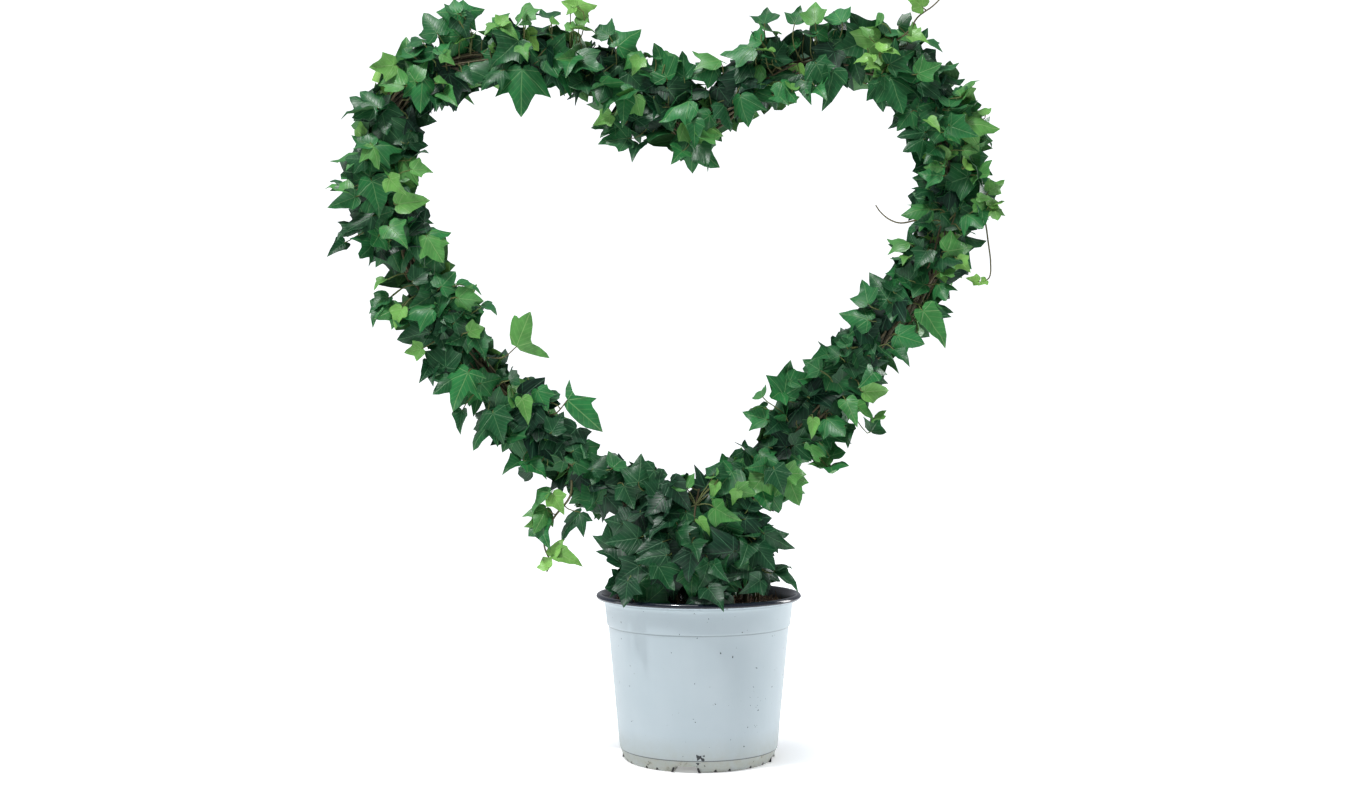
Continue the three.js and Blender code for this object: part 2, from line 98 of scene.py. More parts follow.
def linear(code):
    """The linear colour of an sRGB hex code such as #c8d5dc."""
    parts = [int(code[i : i + 2], 16) / 255 for i in (1, 3, 5)]
    return (*[p / 12.92 if p <= 0.04045 else ((p + 0.055) / 1.055) ** 2.4 for p in parts], 1)


def repeats(size):
    """How often a pattern of a size in millimetres fits in a metre, which is what a texture's scale says."""
    return round(1000 / size)


def feed(node, inputs):
    """Gives a node its inputs, by name or as a list in their order: values, hex colours, or the sockets or
    nodes that feed them. A node feeds with its first output. A Map Range node's list is the value, the range
    it comes from, and the two values that it goes to."""
    if not isinstance(inputs, dict):
        inputs = dict(zip([i for i, socket in enumerate(node.inputs) if socket.enabled], inputs))
    for name, value in inputs.items():
        if isinstance(value, bpy.types.Node):
            value = next(socket for socket in value.outputs if socket.enabled)
        if isinstance(value, bpy.types.NodeSocket):
            node.id_data.links.new(value, node.inputs[name])
        elif isinstance(value, str) and value.startswith("#"):
            node.inputs[name].default_value = linear(value)
        else:
            node.inputs[name].default_value = value


def add_node(tree, kind, inputs=(), **settings):
    """Adds a node of a kind, called as in Blender but without its family, with its settings and inputs."""
    families = ("Shader",) if tree.bl_idname == "ShaderNodeTree" else ("Geometry", "Function", "Shader", "")
    family = next(f for f in families if hasattr(bpy.types, f"{f}Node{kind}"))
    node = tree.nodes.new(f"{family}Node{kind}")
    for name, value in settings.items():
        setattr(node, name, value)
    feed(node, inputs)
    return node


def new_finish(name, **constants):
    """A material with one Principled shader, as (material, the function that adds its nodes, the shader)."""
    material = bpy.data.materials.new(name)
    material.use_nodes = True
    shader = material.node_tree.nodes["Principled BSDF"]
    feed(shader, {socket.replace("_", " "): value for socket, value in constants.items()})
    return material, functools.partial(add_node, material.node_tree), shader


def plain_mesh(name, points, faces, smooth=True):
    """A mesh from points in millimetres."""
    mesh = bpy.data.meshes.new(name)
    mesh.from_pydata([Vector(p) * MM for p in points], [], faces)
    mesh.shade_smooth() if smooth else mesh.shade_flat()
    return mesh


def turned(profile, segments):
    """Points and faces of a shell turned about the Z axis from a profile of (radius, height) pairs."""
    points, rings = [], []
    for radius, height in profile:
        if radius == 0:
            rings.append([len(points)] * segments)
            points.append((0, 0, height))
            continue
        rings.append(list(range(len(points), len(points) + segments)))
        for j in range(segments):
            angle = 2 * math.pi * j / segments
            points.append((radius * math.cos(angle), radius * math.sin(angle), height))
    faces = []
    for low, high in zip(rings, rings[1:]):
        for j in range(segments):
            k = (j + 1) % segments
            faces.append(tuple(dict.fromkeys([low[j], low[k], high[k], high[j]])))
    return points, faces


def prism(section, start, end):
    """Points and faces of a straight bar along X, whose section is a list of (y, z) pairs."""
    count = len(section)
    points = [(x, y, z) for x in (start, end) for y, z in section]
    faces = [tuple(reversed(range(count))), tuple(range(count, 2 * count))]
    for i in range(count):
        j = (i + 1) % count
        faces.append((i, j, j + count, i + count))
    return points, faces


def shape_store(name, meshes):
    """A collection outside the scene that holds shapes for a tree to set out, in the order of their names."""
    store = bpy.data.collections.new(name)
    for i, mesh in enumerate(meshes):
        store.objects.link(bpy.data.objects.new(f"{name}_{i:02d}", mesh))
    return store


def marked_points(name, points, edges=(), **marks):
    """A mesh of bare points in millimetres, with a named attribute for each list of marks."""
    mesh = bpy.data.meshes.new(name)
    mesh.from_pydata([Vector(p) * MM for p in points], list(edges), [])
    kinds = {bool: "BOOLEAN", int: "INT", float: "FLOAT", tuple: "FLOAT_VECTOR"}
    for mark, values in marks.items():
        kind, field = kinds[type(values[0])], "value"
        if kind == "FLOAT_VECTOR":
            values, field = [part for value in values for part in value], "vector"
        mesh.attributes.new(mark, kind, "POINT").data.foreach_set(field, values)
    return mesh


def new_tree(name, **inputs):
    """A node tree for a modifier, with its named inputs, as (tree, the function that adds its nodes, its
    input node)."""
    tree = bpy.data.node_groups.new(name, "GeometryNodeTree")
    for socket, kind in {"Geometry": "Geometry", **inputs}.items():
        tree.interface.new_socket(socket.replace("_", " "), in_out="INPUT", socket_type="NodeSocket" + kind)
    tree.interface.new_socket("Geometry", in_out="OUTPUT", socket_type="NodeSocketGeometry")
    return tree, functools.partial(add_node, tree), tree.nodes.new("NodeGroupInput")


def made_by(tree, name, mesh, keep=(), **values):
    """Runs a tree on a mesh and gives the result as a plain object in the scene."""
    raw = bpy.data.objects.new(name + "_raw", mesh)
    bpy.context.scene.collection.objects.link(raw)
    modifier = raw.modifiers.new(tree.name, "NODES")
    modifier.node_group = tree
    for item in tree.interface.items_tree:
        if item.in_out == "INPUT" and item.name.replace(" ", "_") in values:
            modifier[item.identifier] = values[item.name.replace(" ", "_")]
    depsgraph = bpy.context.evaluated_depsgraph_get()
    made = bpy.data.meshes.new_from_object(
        raw.evaluated_get(depsgraph), preserve_all_data_layers=True, depsgraph=depsgraph
    )
    raw.modifiers.remove(modifier)
    bpy.data.objects.remove(raw)
    kept = {"sharp_edge", "material_index", *keep}
    for mark in [a.name for a in made.attributes if not (a.is_internal or a.is_required or a.name in kept)]:
        made.attributes.remove(made.attributes[mark])
    made.name = name
    piece = bpy.data.objects.new(name, made)
    bpy.context.scene.collection.objects.link(piece)
    return piece


# Moulded polypropylene, satin: a cool white film that looks milky, with faint flow streaks down the wall,
# a few specks, and a grey-beige tide mark below the foot line with dark flakes by the notch.
pot_skin, add, shader = new_finish("moulded_white_polypropylene", IOR=1.49)
place = add("TexCoord").outputs["Object"]
height = add("SeparateXYZ", [place]).outputs["Z"]
streaks = add("TexNoise", [add("Mapping", {"Vector": place, "Scale": (1, 1, 0.12)}), repeats(11.1), 4.0])
speck_cells = add("TexVoronoi", [place, repeats(13.3)])
speck_size = add("MapRange", [add("SeparateColor", [speck_cells.outputs["Color"]]), 0.93, 1.0, 0.0, 0.06])
specks = add("Math", [speck_cells, speck_size], operation="LESS_THAN")
for spot, size in GRIT_SPOTS:
    spot_gap = add("VectorMath", [place, spot], operation="DISTANCE")
    on_spot = add("Math", [spot_gap, size], operation="LESS_THAN")
    specks = add("Math", [specks, on_spot], operation="MAXIMUM")
splash_cells = add("TexVoronoi", [place, repeats(3.03)])
for spot, reach in SPLASHES:
    splash_gap = add("VectorMath", [place, spot], operation="DISTANCE")
    splash_dot = add("MapRange", [splash_gap, 0.0, reach, 0.2, 0.0])
    on_splash = add("Math", [splash_cells, splash_dot], operation="LESS_THAN")
    specks = add("Math", [specks, on_splash], operation="MAXIMUM")
mud_noise = add("TexNoise", [place, repeats(7.14), 6.0, 0.7])
mud_line = add("MapRange", [height, *MUD_DENSE, 0.72, 0.0])
mud_film = add("MapRange", [height, *MUD_FILM, 0.42, 0.0])
mud_most = add("Math", [mud_line, mud_film], operation="MAXIMUM")
mud = add("Math", [mud_most, add("MapRange", [mud_noise, 0.3, 0.62, 0.55, 1.25])], operation="MULTIPLY")
grit = add("Math", [add("MapRange", [mud_noise, 0.6, 0.68, 0.0, 0.9]), mud_line], operation="MULTIPLY")
scuff_gap = add("VectorMath", [place, SCUFF_PLACE], operation="DISTANCE")
scuff_near = add("MapRange", [scuff_gap, 0.002, 0.0085, 0.2, -0.08])
flake_sum = add("Math", [add("TexNoise", [place, repeats(3.03), 2.0]), scuff_near], operation="ADD")
clouds = add("TexNoise", [place, repeats(45.5), 3.0])
skin_colour = add("Mix", [clouds, "#9ba9af", "#adb8bd"], data_type="RGBA")
# Streaks, specks, mud, grit and flakes are the plastic's own marks; the grey lines are painted shade in the
# creases and under the lip.
for share, colour in (
    (add("MapRange", [streaks, 0.35, 0.75, 0.0, 0.22]), "#9fadb4"),
    (add("Math", [specks, 0.75], operation="MULTIPLY"), "#3c4448"),
    (mud, "#9b9b8e"), (grit, "#4f4f47"),
    *[(add("Math", [height, level, half], operation="COMPARE"), grey) for level, half, grey in PAINTED_SHADE_LINES],
    (add("Math", [flake_sum, 0.66], operation="GREATER_THAN"), "#23282c"),
):
    skin_colour = add("Mix", [share, skin_colour, colour], data_type="RGBA")
relief = add("Bump", {"Height": streaks, "Strength": 0.25, "Distance": 0.0006})
worn = add("MapRange", [mud, 0.0, 0.8, 0.4, 0.75])
feed(shader, {"Base Color": skin_colour, "Roughness": worn, "Normal": relief})

# The same plastic coloured with carbon black: glossy on the rolled lip, dulled by dried compost below it.
pot_lining, add, shader = new_finish("moulded_black_polypropylene", IOR=1.49)
place = add("TexCoord").outputs["Object"]
dust_level = add("MapRange", [add("SeparateXYZ", [place]).outputs["Z"], *DUST_EDGE, 0.75, 0.02])
dust = add("Math", [add("TexNoise", [place, repeats(16.7), 5.0]), dust_level], operation="MULTIPLY")
dusty = add("Mix", [dust, "#121925", "#3d3832"], data_type="RGBA")
feed(shader, {"Base Color": dusty, "Roughness": add("MapRange", [dust, 0.0, 0.4, 0.13, 0.8])})

# The tree joins the ridges to the body, then cuts the channels, drain holes and nicks out of it.
foot_tree, add, given = new_tree(
    "join_and_cut", Shapes="Collection", Ridges="Object", Channels="Object", Holes="Object",
    Lining="Material", Skin="Material",
)
parts = add("CollectionInfo", [given.outputs["Shapes"], True, True])
form = add("InputNamedAttribute", ["form"], data_type="INT")
rotation = add("EulerToRotation", [add("InputNamedAttribute", ["turn"], data_type="FLOAT_VECTOR")])
body = given
for source, operation, finish in (
    ("Ridges", "UNION", "Lining"), ("Channels", "DIFFERENCE", "Skin"), ("Holes", "DIFFERENCE", "Lining")
):
    set_out = add(
        "InstanceOnPoints",
        {"Points": add("ObjectInfo", [given.outputs[source]]).outputs["Geometry"], "Instance": parts,
         "Pick Instance": True, "Instance Index": form, "Rotation": rotation},
    )
    solid = add("RealizeInstances", [set_out])
    joined = add("MeshBoolean", operation=operation, solver="EXACT")
    feed(joined, {"Mesh 1" if operation == "DIFFERENCE" else "Mesh 2": body})
    feed(joined, {"Mesh 2": add("SetMaterial", {"Geometry": solid, "Material": given.outputs[finish]})})
    body = joined
add("GroupOutput", [body])


def channel_section(grow, base):
    """The trapezoid of a drain channel, larger by grow on each face, as (y, z) pairs."""
    foot, crown = (half + grow for half in CHANNEL_HALF_WIDTHS)
    top = CHANNEL_HEIGHT + grow
    return [(-foot, base), (foot, base), (crown, top), (-crown, top)]


def turned_points(name, placed):
    """Points on the Z axis, one for each (shape number, degrees about Z)."""
    return bpy.data.objects.new(
        name,
        marked_points(
            name, [(0, 0, 0)] * len(placed), form=[form for form, _ in placed],
            turn=[(0.0, 0.0, math.radians(degrees)) for _, degrees in placed],
        ),
    )


hole_rim = [
    (DRAIN_HOLE_RADIUS * math.cos(i * math.pi / 12), DRAIN_HOLE_RADIUS * math.sin(i * math.pi / 12))
    for i in range(24)
]
hole_points = [(DRAIN_HOLE_DISTANCE + x, y, z) for z in (1, 12) for x, y in hole_rim]
hole_faces = [tuple(reversed(range(24))), tuple(range(24, 48))]
hole_faces += [(i, (i + 1) % 24, (i + 1) % 24 + 24, i + 24) for i in range(24)]
foot_shapes = shape_store(
    "pot_foot_shape",
    [
        plain_mesh("ridge", *prism(channel_section(FOOT_WALL, 0.4), 28.7, 62.2), smooth=False),
        plain_mesh("channel", *prism(channel_section(0, -1), 30, 72), smooth=False),
        plain_mesh("drain_hole", hole_points, hole_faces, smooth=False),
        plain_mesh("nick", *prism([(-2, -0.6), (2, -0.6), (0.6, 2.6), (-0.4, 2.6)], 58.6, 70), smooth=False),
    ],
)
ridge_places = turned_points("ridge_places", [(0, turn) for turn in CHANNEL_TURNS])
channel_places = turned_points("channel_places", [(1, turn) for turn in CHANNEL_TURNS])
hole_places = turned_points(
    "hole_places", [(2, turn) for turn in CHANNEL_TURNS] + [(3, turn) for turn in NICK_TURNS]
)

shell = plain_mesh("pot_shell", *turned(POT_WHITE + POT_BLACK, POT_SEGMENTS))
shell.materials.append(pot_skin)
shell.materials.append(pot_lining)
white_faces = POT_SEGMENTS * (len(POT_WHITE) - 1)
shell.polygons.foreach_set("material_index", [int(i >= white_faces) for i in range(len(shell.polygons))])
pot = made_by(
    foot_tree, "nursery_pot", shell, Shapes=foot_shapes, Ridges=ridge_places, Channels=channel_places,
    Holes=hole_places, Lining=pot_lining, Skin=pot_skin,
)
pot.data.set_sharp_from_angle(angle=CREASE)
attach(pot, "root")
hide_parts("pot")

# Compost.
# Peat-free potting mix: dark crumbs of composted bark with fibres and a few grains of white perlite.
# It is pressed in by hand to a finger's width below the rim, a little higher round the stems.
# The height in the middle and how much lower the edge is; and the part inside the pot, from the floor up.
COMPOST_SEGMENTS = 96
COMPOST_RINGS = 24
COMPOST_EDGE = 75.0
COMPOST_CROWN, COMPOST_FALL = 131.4, 2.6
COMPOST_BELOW = [(0, 6.8), (61, 6.8), (63.4, 11.4), (72.6, 106.5), (COMPOST_EDGE, 121)]

compost_finish, add, shader = new_finish("damp_bark_potting_mix", Roughness=0.93)
place = add("TexCoord").outputs["Object"]
crumb_noise = add("TexNoise", [place, repeats(3.85), 6.0, 0.7])
soil_colour = "#2a1f17"
for share, colour in (
    (crumb_noise, "#6e5844"), (add("TexNoise", [place, repeats(22.2), 2.0]), "#54402e"),
    (add("Attribute", attribute_name="shade").outputs["Fac"], "#8f7658"),
    (add("Attribute", attribute_name="pale").outputs["Fac"], "#cfc9bd"),
):
    soil_colour = add("Mix", [share, soil_colour, colour], data_type="RGBA")
relief = add("Bump", {"Height": crumb_noise, "Strength": 0.8, "Distance": 0.0012})
feed(shader, {"Base Color": soil_colour, "Normal": relief})


def compost_height(x, y):
    """Height of the compost's surface, in millimetres: a low crown with thumb-sized lumps."""
    radius = math.hypot(x, y)
    lumps = noise.noise(Vector((x, y, 3)) / 17) * 1.6 + noise.noise(Vector((x, y, 9)) / 6) * 0.8
    return COMPOST_CROWN - COMPOST_FALL * (radius / COMPOST_EDGE) ** 2 + lumps


compost_top = [(COMPOST_EDGE * (1 - i / COMPOST_RINGS) + 0.4, 0) for i in range(1, COMPOST_RINGS)] + [(0, 0)]
compost_points, compost_faces = turned(COMPOST_BELOW + compost_top, COMPOST_SEGMENTS)
surface = slice(1 + (len(COMPOST_BELOW) - 1) * COMPOST_SEGMENTS, None)
compost_points[surface] = [(x, y, compost_height(x, y)) for x, y, _ in compost_points[surface]]


def crumb(seed, stretch):
    """A broken lump of about a millimetre across, stretched along its axes."""
    dice = random.Random(seed)
    lump = bmesh.new()
    bmesh.ops.create_icosphere(lump, subdivisions=1, radius=1)
    for vertex in lump.verts:
        vertex.co = Vector(c * s * dice.uniform(0.6, 1.15) for c, s in zip(vertex.co, stretch)) * 0.5 * MM
    mesh = bpy.data.meshes.new("crumb")
    lump.to_mesh(mesh)
    lump.free()
    mesh.shade_flat()
    return mesh


# The tree scatters crumbs on the upper face, some pale as perlite and the rest in shades of bark.
crumb_tree, add, given = new_tree(
    "scatter_crumbs", Crumbs="Collection", Spacing="Float", Smallest="Float", Largest="Float",
    Pale_share="Float", Seed="Int", Finish="Material",
)
upward = add("SeparateXYZ", [add("InputNormal")]).outputs["Z"]
spread = add(
    "DistributePointsOnFaces",
    {"Mesh": given, "Selection": add("Compare", [upward, 0.5], operation="GREATER_THAN"),
     "Distance Min": given.outputs["Spacing"], "Density Max": 400000.0, "Seed": given.outputs["Seed"]},
    distribute_method="POISSON",
)
form = add("RandomValue", {4: 0, 5: 5, "Seed": 6}, data_type="INT")
tumble = add("RandomValue", {0: (0, 0, 0), 1: (6.28, 6.28, 6.28), "Seed": 4}, data_type="FLOAT_VECTOR")
size = add(
    "RandomValue", {2: given.outputs["Smallest"], 3: given.outputs["Largest"], "Seed": 5}, data_type="FLOAT"
)
crumbs = add(
    "InstanceOnPoints",
    {"Points": spread, "Instance": add("CollectionInfo", [given.outputs["Crumbs"], True, True]),
     "Pick Instance": True, "Instance Index": form, "Rotation": tumble, "Scale": size},
)
is_pale = add("RandomValue", {"Probability": given.outputs["Pale share"], "Seed": 7}, data_type="BOOLEAN")
barkiness = add("RandomValue", {2: 0.0, 3: 1.0, "Seed": 8}, data_type="FLOAT")
for mark, value in (("pale", is_pale), ("shade", add("Math", [barkiness, 3.0], operation="POWER"))):
    crumbs = add(
        "StoreNamedAttribute", {"Geometry": crumbs, "Name": mark, "Value": value},
        data_type="FLOAT", domain="INSTANCE",
    )
whole = add("JoinGeometry")
for part in (given, add("RealizeInstances", [crumbs])):
    feed(whole, [part])
add("GroupOutput", [add("SetMaterial", {"Geometry": whole, "Material": given.outputs["Finish"]})])

crumb_forms = shape_store(
    "crumb_form",
    [
        crumb(1, (1, 1, 0.8)), crumb(2, (1.2, 0.9, 0.6)), crumb(3, (1.7, 0.8, 0.35)),
        crumb(4, (2.6, 0.5, 0.3)), crumb(5, (4.5, 0.22, 0.2)), crumb(6, (0.8, 0.8, 0.7)),
    ],
)
compost = made_by(
    crumb_tree, "potting_compost", plain_mesh("compost_body", compost_points, compost_faces),
    keep=("pale", "shade"), Crumbs=crumb_forms, Spacing=0.0021, Smallest=1.3, Largest=3.6,
    Pale_share=0.06, Seed=11, Finish=compost_finish,
)
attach(compost, "root")
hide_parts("compost")

# Heart hoop.
# One length of 4.4 mm steel wire coated in dark green plastic, bent to a heart with a dip at the top.
# Both ends are pushed down through the compost to the pot's floor.
HOOP_RADIUS = 2.2
# The bends of the wire as (x, z), from the foot of the left leg to the foot of the right one.
HOOP_POINTS = [
    (-12, 14), (-12, 60), (-12, 126), (-24, 178), (-60, 213), (-112, 256), (-160, 298), (-198, 343),
    (-228, 389), (-250, 436), (-262, 482), (-262, 524), (-246, 555), (-214, 571), (-170, 577),
    (-124, 574), (-82, 565), (-49, 550), (-22, 533), (-7, 523), (12, 532), (36, 547), (66, 562),
    (99, 575), (134, 579), (167, 569), (192, 546), (207, 511), (211, 472), (203, 430), (184, 388),
    (155, 350), (122, 314), (92, 281), (66, 250), (38, 216), (18, 180), (12, 126), (12, 60), (12, 14),
]
HOOP_DIVISIONS = 1600
# The points at the dip between the lobes, and where the left leg leaves the compost.
DIP_INDEX = 19
SOIL_INDEX = 2
FRONT = Vector((0, -1, 0))
UP = Vector((0, 0, 1))


def on_curve(points, share):
    """The point at a share, 0 to 1, of a smooth curve through the points."""
    pieces = len(points) - 1
    i = min(int(share * pieces), pieces - 1)
    w = share * pieces - i
    start, end = points[i], points[i + 1]
    before = points[i - 1] if i else start * 2 - end
    after = points[i + 2] if i + 2 <= pieces else end * 2 - start
    leave, arrive = (end - before) / 2, (after - start) / 2
    square = (end - start) * 3 - leave * 2 - arrive
    cube = (start - end) * 2 + leave + arrive
    return start + leave * w + square * w**2 + cube * w**3


hoop_corners = [Vector((x, 0, z)) for x, z in HOOP_POINTS]
hoop_line = [on_curve(hoop_corners, i / HOOP_DIVISIONS) for i in range(HOOP_DIVISIONS + 1)]
hoop_lengths = [0.0]
for before, after in zip(hoop_line, hoop_line[1:]):
    hoop_lengths.append(hoop_lengths[-1] + (after - before).length)


def length_to(index):
    """The length of wire up to one of the hoop's points."""
    return hoop_lengths[round(index / (len(HOOP_POINTS) - 1) * HOOP_DIVISIONS)]


left_start, dip, right_start = (
    length_to(i) for i in (SOIL_INDEX, DIP_INDEX, len(HOOP_POINTS) - 1 - SOIL_INDEX)
)
ARMS = {
    "left": {"start": left_start, "way": 1, "length": dip - left_start},
    "right": {"start": right_start, "way": -1, "length": right_start - dip},
}


def station(arm, a):
    """The hoop's point, growing direction and outward direction, a millimetres up an arm."""
    length = min(max(arm["start"] + arm["way"] * a, 0), hoop_lengths[-1] - 0.001)
    i = bisect.bisect_right(hoop_lengths, length) - 1
    share = (length - hoop_lengths[i]) / (hoop_lengths[i + 1] - hoop_lengths[i])
    point = hoop_line[i].lerp(hoop_line[i + 1], share)
    ahead, behind = hoop_line[min(i + 4, HOOP_DIVISIONS)], hoop_line[max(i - 3, 0)]
    along = (ahead - behind).normalized() * arm["way"]
    outward = Vector((-along.z, 0, along.x)) * arm["way"]
    return point, along, outward


# The tree sweeps a round section along each line of points, as thick as its points say.
stem_tree, add, given = new_tree("sweep_stems", Sides="Int", Finish="Material")
section = add("CurvePrimitiveCircle", {"Resolution": given.outputs["Sides"], "Radius": MM})
thickness = add("InputNamedAttribute", ["thickness"], data_type="FLOAT")
swept = add(
    "CurveToMesh",
    {"Curve": add("MeshToCurve", [given]), "Profile Curve": section, "Scale": thickness, "Fill Caps": True},
)
stems_real = add("RealizeInstances", [add("SetShadeSmooth", [swept])])
add("GroupOutput", [add("SetMaterial", {"Geometry": stems_real, "Material": given.outputs["Finish"]})])

# PVC dip coating: even, dark green, softly glossy, with faint drag marks along the wire.
wire_coating, add, shader = new_finish("pvc_coated_wire", IOR=1.5)
drag = add("TexNoise", [add("TexCoord").outputs["Object"], repeats(5.56), 3.0])
coated = add("Mix", [drag, "#17251a", "#273a26"], data_type="RGBA")
feed(shader, {"Base Color": coated, "Roughness": add("MapRange", [drag, 0.0, 1.0, 0.35, 0.55])})

hoop_places = hoop_line[::4]
hoop_mesh = marked_points(
    "hoop_line", hoop_places, [(i, i + 1) for i in range(len(hoop_places) - 1)],
    thickness=[HOOP_RADIUS] * len(hoop_places),
)
hoop = made_by(stem_tree, "heart_wire", hoop_mesh, Sides=12, Finish=wire_coating)
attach(hoop, "root")
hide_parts("heart_hoop")

# Vines.
# Eight woody ivy stems, four to each arm, rooted round the hoop's legs and wound up the wire.
# Each has a thinner stem twisted beside it, swollen joints where leaves were, and short aerial roots.
# A vine winds round the wire once in each pitch, at its orbit from the wire's middle.
VINE_RADIUS = 1.7
VINE_PITCH = 140
VINE_ORBIT = 4.5
BUNDLE_RADIUS = VINE_ORBIT + VINE_RADIUS
# A vine is rooted this deep, at a distance and angle from its leg, and joins the wire at this height.
JOIN = 92
ROOT_DEPTH = 14
ROOT_DISTANCES = [27, 30, 26, 29]
ROOT_ANGLES = [75, 25, -25, -75]
JOIN_ANGLES = [135, 45, -45, -135]
# How far each vine stops short of the dip, the steps along it, and the number of short roots on it.
VINE_ENDS = [8, 24, 40, 56]
VINE_STEP = 5
AERIAL_ROOTS = 26


def mix(a, b, t):
    return a + (b - a) * t


def smooth(t):
    t = min(max(t, 0), 1)
    return t * t * (3 - 2 * t)


def radial(outward, angle):
    """The direction at an angle round the bundle: 0 is out of the heart, 90 degrees the front."""
    return outward * math.cos(angle) + FRONT * math.sin(angle)


def on_bundle(arm, a, angle, orbit):
    """The point at an angle round the bundle and an orbit from the wire, a millimetres up an arm."""
    point, _, outward = station(arm, a)
    return point + radial(outward, angle) * orbit


def vine_angle(k, a):
    """The angle of vine k round the wire, a millimetres up its arm."""
    if a < JOIN:
        return math.radians(mix(ROOT_ANGLES[k], JOIN_ANGLES[k], max(0, a / JOIN)))
    return math.radians(JOIN_ANGLES[k]) + 2 * math.pi * (a - JOIN) / VINE_PITCH


# Young ivy bark: olive-brown and greyish, reddish in places, with fine ridges about a millimetre apart.
bark, add, shader = new_finish("ridged_ivy_bark", Roughness=0.78, Specular_IOR_Level=0.25)
place = add("TexCoord").outputs["Object"]
ridges = add("TexNoise", [place, repeats(1.111), 3.0, 0.6])
bark_colour = "#353427"
for share, colour in (
    (add("TexNoise", [place, repeats(26.3), 3.0]), "#85806a"),
    (add("MapRange", [add("TexNoise", [place, repeats(59), 1.0]), 0.55, 0.75, 0.0, 0.2]), "#4e3626"),
    (add("MapRange", [ridges, 0.35, 0.7, 0.55, 0.0]), "#2a2117"),
):
    bark_colour = add("Mix", [share, bark_colour, colour], data_type="RGBA")
relief = add("Bump", {"Height": ridges, "Strength": 0.6, "Distance": 0.0004})
feed(shader, {"Base Color": bark_colour, "Normal": relief})


def stem_lines(name, stems):
    """A mesh of lines for the tree that sweeps stems. Each stem is (points, radii)."""
    points, edges, radii = [], [], []
    for line, line_radii in stems:
        edges += [(len(points) + i, len(points) + i + 1) for i in range(len(line) - 1)]
        points += line
        radii += line_radii
    return marked_points(name, points, edges, thickness=radii)


for side, arm in ARMS.items():
    for k in range(4):
        dice = random.Random(100 * k + arm["length"] // 1)
        end = arm["length"] - VINE_ENDS[k]
        count = int((end + ROOT_DEPTH) / VINE_STEP)
        heights = [mix(-ROOT_DEPTH, end, i / count) for i in range(count + 1)]
        main, main_radii, mate, mate_radii = [], [], [], []
        for i, a in enumerate(heights):
            orbit = mix(ROOT_DISTANCES[k], VINE_ORBIT, smooth(a / JOIN))
            drift = noise.noise(Vector((a / 40, k * 9, arm["way"])))
            age = 1 - max(a, 0) / arm["length"]
            joint = 0.3 * math.exp(-(((a + 13 * k) % 31 - 15) / 2.4) ** 2)
            main.append(on_bundle(arm, a, vine_angle(k, a) + 0.12 * drift, orbit + 0.5 * drift))
            main_radii.append(mix(1.35, 2.0, age) * (1 + joint))
            if a > -4:
                mate_angle = vine_angle(k, a) + 0.75 + 0.5 * noise.noise(Vector((a / 55, k * 5, 7)))
                mate_orbit = orbit + 2.2 + 1.7 * noise.noise(Vector((a / 30, k * 7, 3)))
                mate.append(on_bundle(arm, a, mate_angle, mate_orbit))
                mate_radii.append(mix(0.8, 1.2, age) * (1 + 1.4 * joint))
        stems = [(main, main_radii), (mate, mate_radii)]
        for _ in range(AERIAL_ROOTS):
            i = dice.randrange(22, len(main) - 2)
            _, along, outward = station(arm, heights[i])
            away = (radial(outward, vine_angle(k, heights[i])) + along * dice.uniform(-0.6, 0.6)).normalized()
            length = dice.uniform(3, 8)
            bend = Vector((dice.uniform(-1, 1), dice.uniform(-1, 1), -1)) * length * 0.4
            root = [main[i], main[i] + away * length * 0.6, main[i] + away * length + bend]
            stems.append((root, [0.4, 0.34, 0.22]))
        vine = made_by(
            stem_tree, f"woody_vine_{side}_{k + 1}", stem_lines("vine_lines", stems), Sides=8, Finish=bark,
        )
        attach(vine, "root")
        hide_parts(f"vine_{side}_{k + 1}")

